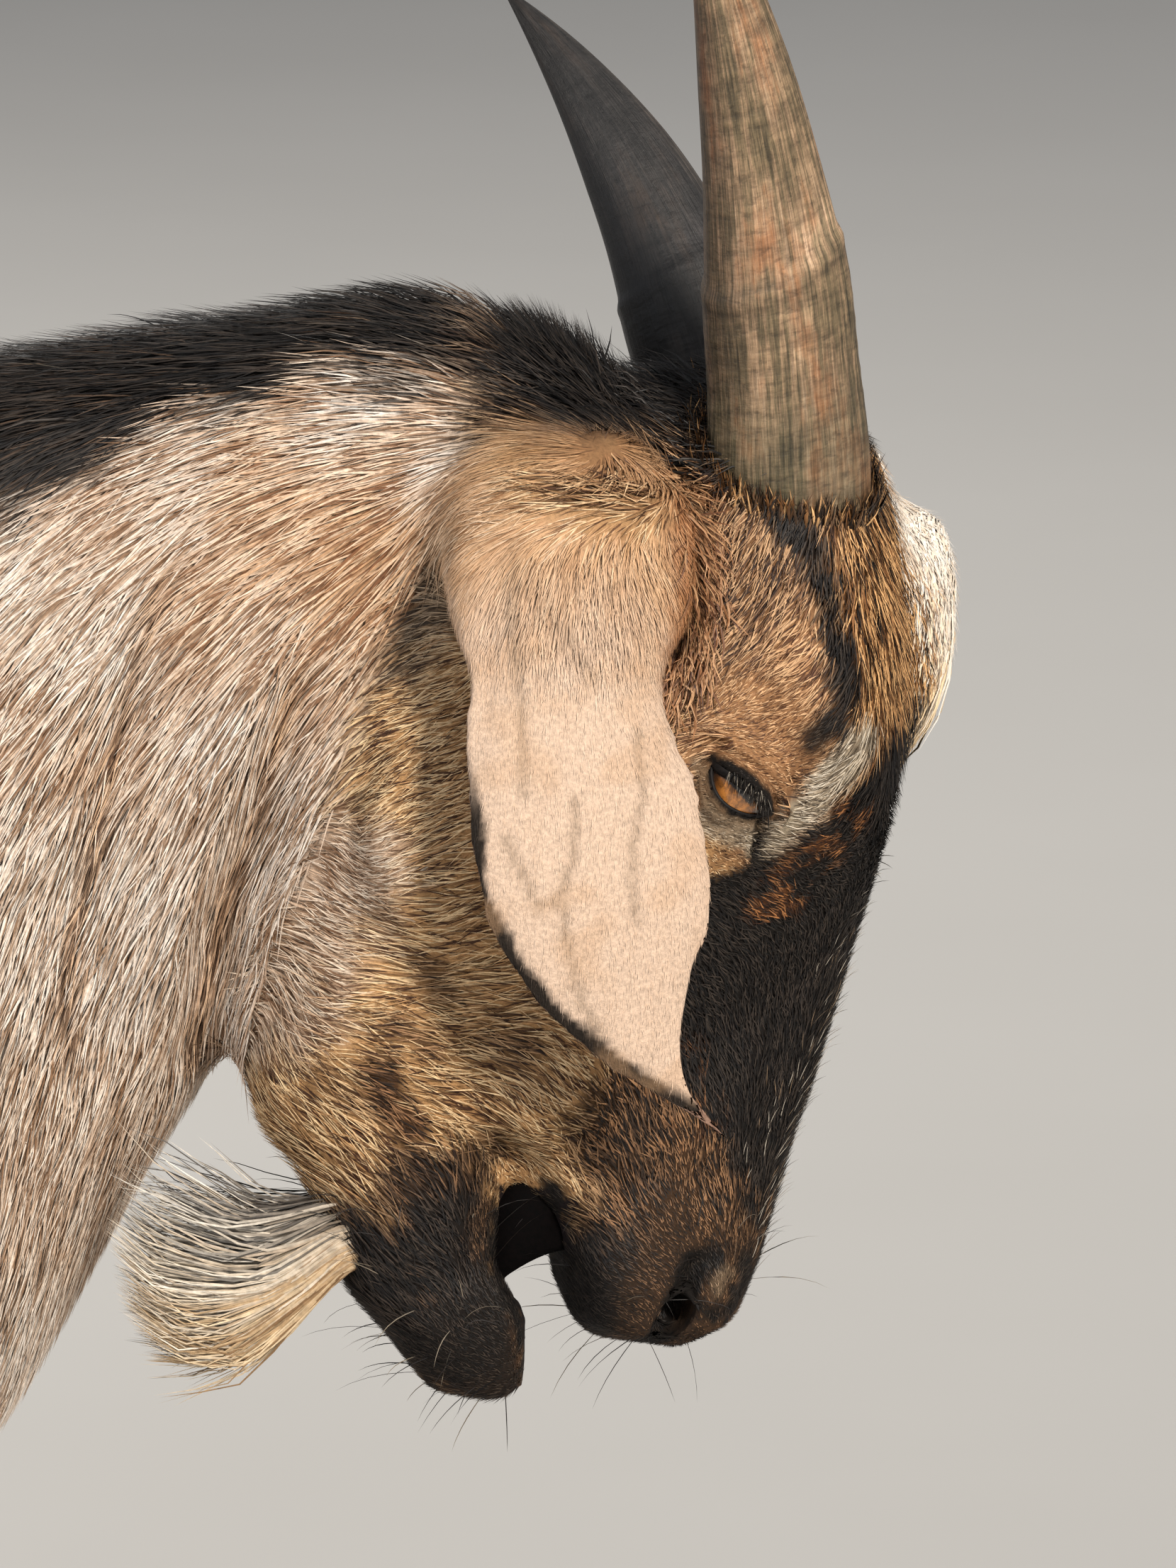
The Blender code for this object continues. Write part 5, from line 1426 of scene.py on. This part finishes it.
# the dark hollow between the jaws: a near-black lining, painted shade inside the mouth
hollow = [
    # d, lower n, upper n, half width, how far its middle is set back
    (196, -26, -20, 7, 0), (201, -31, -16, 11, 0), (208, -35, -12, 12.5, 0), (216, -36, -10, 12, 1),
    (223, -35, -8, 10.5, 3), (227, -34, -7, 9, 5), (226, -31, -10, 7.5, 5), (219, -29, -13, 6.5, 4),
    (210, -26, -17, 5, 2), (203, -24, -20, 2.5, 0),
]
slanting = (0, 0, 0, 2, 5, 7, 7, 4, 1, 0)  # how much farther each ring reaches along the lower lip
mouthShadeMaterial = bareSkinFinish("mouthShadeFlesh", (0.001, 0.0008, 0.0008), (0.003, 0.002, 0.002), 0.70, 0.06)
turns = np.linspace(0, 2 * pi, 40, endpoint=False)
up, aside = np.sin(turns), np.cos(turns)
rings = []
for (d, low, high, half, back), slant in zip(hollow, slanting):
    ring = np.stack(
        [d - back * (1 - up**2) - slant * up, aside * half, (low + high) / 2 + (high - low) / 2 * up], axis=1
    )
    rings.append(fromHead(ring).tolist())
show("mouthShadeLining", loftRings("mouthShadeLining", rings), mouthShadeMaterial)

# whiskers on the chin, lips and jaw, and stray hairs on the outline of the mane
whiskers = {
    "count": 130, "length": (10, 26), "wide": 0.28, "rings": 5, "root": 0.7,
    "pull": (0, 0, -0.22), "curl": 0.05, "slot": "face",
}
onMuzzle = headShare * (spots[:, 0] > 205) * (np.abs(spots[:, 1]) > 4) * (1 + 2 * (spots[:, 2] < -30))
roots = Roots(whiskers["count"], onMuzzle)
way = unit(roots.normal + roots.lie * 0.8 + roots.loose(0.25))
tip = np.where(dice.random(roots.count)[:, None] < 0.3, (0.25, 0.20, 0.14), (0.015, 0.010, 0.008))
growLocks("whiskers", whiskers, roots.at, way, tip)
strayMane = {
    "count": 90, "length": (16, 28), "wide": 0.30, "rings": 5, "root": 1,
    "pull": (-0.1, 0, -0.12), "curl": 0.08,
}
roots = Roots(strayMane["count"], crest)
way = unit(roots.normal * 0.35 + np.array([-1.0, 0, 0.05]) + roots.loose(0.12))
tip = np.where(dice.random(roots.count)[:, None] < 0.25, (0.18, 0.15, 0.11), (0.012, 0.009, 0.007))
growLocks("strayMane", strayMane, roots.at, way, tip)

# horns
horns = {
    "horn_right": {"name": "hornNear", "side": -1, "length": 0.178, "taper": 1.8, "sweep": (10, 28), "ring": 0.356},
    "horn_left": {"name": "hornFar", "side": 1, "length": 0.130, "taper": 1.9, "sweep": (9, 45), "ring": 0.40},
}
hornShape = {
    "base": (0.022, 0.0260, 0.0235),
    "depth": 0.0415,
    "width": 0.0275,
    "lean": (13, 20),
    "steps": 130,
    "sides": 64,
    "weakRings": ((0.13, 0.3), (0.165, 0.45), (0.20, 0.4), (0.235, 0.5), (0.27, 0.3), (0.30, 0.35), (0.62, 0.25)),
}
hornTones = {  # colours along a ramp, and the stains over them
    "hornNear": {
        "wood": [
            (0.36, (0.055, 0.043, 0.024)), (0.46, (0.18, 0.13, 0.07)), (0.54, (0.38, 0.245, 0.142)),
            (0.64, (0.6, 0.43, 0.28))
        ],
        "stain": (0.34, 0.135, 0.05),
    },
    # the far horn's colours are darkened nearly to black: painted shade over its own dark bluish grey
    "hornFar": {
        "wood": [
            (0.36, (0.006, 0.005, 0.005)), (0.48, (0.018, 0.016, 0.015)), (0.58, (0.042, 0.036, 0.033)),
            (0.68, (0.1, 0.08, 0.062))
        ],
        "stain": (0.035, 0.022, 0.015),
    },
}
for node, h in horns.items():
    count, sides = hornShape["steps"], hornShape["sides"]
    rings, grain, tint = [], [], []
    base = hornShape["base"]
    spot = np.array([base[0], base[1] * h["side"], base[2]])
    for i in range(count + 1):
        share = i / count
        sweep = radians(blend(*h["sweep"], share))
        lean = radians(blend(*hornShape["lean"], share))
        along = np.array([-cos(sweep) * cos(lean), h["side"] * sin(lean), -sin(sweep) * cos(lean)])
        front = np.array([-sin(sweep), 0, cos(sweep)])
        across = unit(np.cross(along, front))
        size = max(1 - share ** h["taper"], 0.02)
        turn = np.arange(sides) * 2 * pi / sides
        # rings dip behind and rise in front
        lifted = share - 0.036 * np.cos(turn) * (1 - share) + 0.008 * np.sin(turn) * h["side"]
        past = h["ring"] - lifted
        strong = bell(lifted, h["ring"], 0.012) + 0.7 * ease(past, -0.004, 0.02) * fade(past, 0.02, 0.2)
        weak = sum(k * bell(lifted, at, 0.008) for at, k in hornShape["weakRings"])
        keel = np.cos(turn) * (1.0 + 0.10 * np.maximum(0, np.cos(turn)) ** 3)
        rough = 0.006 * np.sin(turn * 9 + 3) + 0.004 * np.sin(turn * 17 + share * 5)
        swell = (
            (0.072 * strong + 0.018 * weak + rough) * (1 - 0.7 * share)
            + 0.018 * sin(2 * pi * share * 3.5) * (1 - share)
        )
        girth = size * (1 + swell) * 0.995
        deep = hornShape["depth"] / 2 * girth * keel
        broad = hornShape["width"] / 2 * girth * np.sin(turn) * (1 - 0.12 * np.cos(turn))
        ring = spot + front * deep[:, None] + across * broad[:, None]
        rings.append(fromHead(ring * 1000).tolist())
        grain += [(np.cos(a) * 0.02, np.sin(a) * 0.02, share * (h["length"] + base[0])) for a in turn]
        # painted light on each horn: painted shade on its rear side, a painted sheen above the ring and painted shade
        # just under it; the greyer base is the horn's own colour
        shadedRear = ease(-np.cos(turn), 0.35, 0.95)[:, None]
        low = ease(0.24 - share, 0, 0.12) * np.ones((sides, 1))
        sheen = (bell(lifted, h["ring"] + 0.030, 0.026) * ease(np.cos(turn), -0.2, 0.7))[:, None]
        shadeUnderRing = bell(lifted, h["ring"] - 0.016, 0.006)[:, None]
        shade = blend(np.ones((sides, 3)), np.array([0.34, 0.32, 0.32]), shadedRear * 0.85)
        shade = blend(shade, np.array([0.50, 0.56, 0.55]), low * 0.9)
        shade = blend(shade, np.array([1.75, 1.75, 1.85]), sheen * 0.85) * (1 - 0.45 * shadeUnderRing)
        if h["name"] == "hornFar":
            # far horn: a painted highlight along its front ridge, and a darker band at about a third of its length
            ridgeHighlight = ease(np.cos(turn), 0.80, 0.97)[:, None] * ease(share, 0.30, 0.5)
            shade = blend(shade, np.array([3.2, 2.9, 2.5]), ridgeHighlight * 0.8)
            shade = shade * (1 - 0.55 * bell(lifted, 0.34, 0.05)[:, None])
        tint.append(shade)
        spot = spot + along * (h["length"] + base[0]) / count
    mesh = loftRings(h["name"], rings)
    h["rings"] = np.array(rings)
    note(mesh, "grain", grain)
    paint(mesh, "tint", np.vstack(tint))
    print("stage:", h["name"])
    show(h["name"], mesh, hornFinish(h["name"], hornTones[h["name"]]), (node,))

# dark hair that grows up over the foot of each horn, and a few white hairs down the nose
collar = {
    "count": 2400, "length": (3.5, 10), "wide": (0.5, 0.9), "root": 0.45,
    "pull": (0, 0, -0.10), "curl": 0.22,
}
starts, ways, outs = [], [], []
for h in horns.values():
    count = int(collar["count"] * few) // 2
    low = h["rings"][:60]
    found, _ = nearest(skinTree, low.reshape(-1, 3))
    above = ((low.reshape(-1, 3) - found[:, :3]) * found[:, 3:]).sum(1).reshape(60, -1)
    foot = np.argmax(above > 0, axis=0)  # where each side of the horn leaves the skin
    which = dice.integers(0, low.shape[1], count)
    at = low[foot[which], which]
    out = unit(at - low.mean(1)[foot[which]])
    along = unit(low[np.minimum(foot[which] + 6, 59), which] - at)
    found, _ = nearest(skinTree, at + out * (0.0004 + 0.0055 * dice.random(count)[:, None] ** 1.5))
    starts.append(found[:, :3])
    outs.append(out)
    up, aside = along * dice.uniform(0.7, 1.2, count)[:, None], out * dice.uniform(-0.05, 0.30, count)[:, None]
    ways.append(unit(up + aside + dice.normal(0, 0.13, (count, 3))))
start, way, out = (np.vstack(part) for part in (starts, ways, outs))
reddish = (dice.random(len(start)) < 0.4)[:, None, None]
tip = picked(np.where(reddish, hairs["forehead"], hairs["sooty"]), dice.random(len(start)) ** 1.6)
growLocks("hornCollar", collar, start, way, tip, out)
bridgeHairs = {
    "count": 420, "length": (5, 9), "wide": 0.24, "root": 0.5,
    "pull": (0, 0, -0.15), "curl": 0.1, "slot": "face",
}
onNose = region[:, 0] * ease(spots[:, 0], 105, 130) * fade(spots[:, 0], 212, 226) * fade(np.abs(spots[:, 1]), 14, 24)
roots = Roots(bridgeHairs["count"], onNose * (spots[:, 2] > 20))
way = unit(roots.lie + roots.normal * 0.35 + roots.loose(0.15))
tip = np.where(dice.random(roots.count)[:, None] < 0.6, (0.75, 0.66, 0.54), (0.30, 0.20, 0.12))
growLocks("bridgeHairs", bridgeHairs, roots.at, way, tip, roots.normal)

# hooves and dewclaws: worn horn over the solids' own shapes
hoofWear = {"flat": 4, "edge": 35, "round": 0.0012}  # degrees, degrees and metres
hoofMaterial = hoofFinish()
for node in sorted(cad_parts):
    if node.startswith(("hoof", "dewclaw")):
        bm = bmesh.new()
        bm.from_mesh(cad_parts[node].data)
        bmesh.ops.remove_doubles(bm, verts=bm.verts, dist=2e-6)
        bmesh.ops.dissolve_limit(bm, angle_limit=radians(hoofWear["flat"]), verts=bm.verts, edges=bm.edges)
        sharp = [e for e in bm.edges if len(e.link_faces) == 2 and e.calc_face_angle(0) > radians(hoofWear["edge"])]
        bmesh.ops.bevel(
            bm, geom=sharp, offset=hoofWear["round"], segments=2, profile=0.5, affect="EDGES", material=-1
        )
        bmesh.ops.triangulate(bm, faces=bm.faces)
        show(node + "_horn", meshOf(bm, node + "Worn", True), hoofMaterial, (node,))

# floor and light
stageValues = {"floor": 6.0, "sky": (0.80, 0.83, 0.88), "skyLight": 0.42, "aimBelowPoll": 0.12}
bm = bmesh.new()
bmesh.ops.create_grid(bm, x_segments=1, y_segments=1, size=stageValues["floor"])
floorMesh = meshOf(bm, "floor")
floor = bpy.data.objects.new("floor", floorMesh)
bpy.context.scene.collection.objects.link(floor)
paper = Finish("paleFloor", Roughness=0.9)
floorMesh.materials.append(
    paper.finish(Base_Color=paper.mix(paper.noise(paper.places(), 3.0), (0.47, 0.45, 0.42), (0.51, 0.49, 0.46)))
)
floor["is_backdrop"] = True

lamps = {
    # name: place, size, watts, colour
    "key": ((2.2, -3.3, 2.7), 0.6, 200, (1.0, 0.94, 0.86)),
    "fill": ((-2.6, -2.6, 1.5), 2.4, 46, (0.92, 0.95, 1.0)),
    "back": ((-0.8, 2.8, 2.4), 1.6, 70, (1.0, 0.97, 0.92)),
}
aim = poll - Vector((0, 0, stageValues["aimBelowPoll"]))
for name, (spot, size, watts, tone) in lamps.items():
    lamp = bpy.data.lights.new(name, "AREA")
    lamp.size, lamp.energy, lamp.color = size, watts, tone
    light = bpy.data.objects.new(name, lamp)
    bpy.context.scene.collection.objects.link(light)
    light.location = spot
    light.rotation_euler = (Vector(spot) - aim).to_track_quat("Z", "Y").to_euler()
world = bpy.data.worlds.new("studio")
world.use_nodes = True
sky = world.node_tree.nodes["Background"]
sky.inputs[0].default_value, sky.inputs[1].default_value = (*stageValues["sky"], 1), stageValues["skyLight"]
bpy.context.scene.world = world
bpy.context.scene.view_settings.view_transform = "Standard"

# sizes
cadCorners, corners = ([list(corner) for corner in box] for box in (cadBox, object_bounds()))
print("stage: sizes", cadCorners, corners)
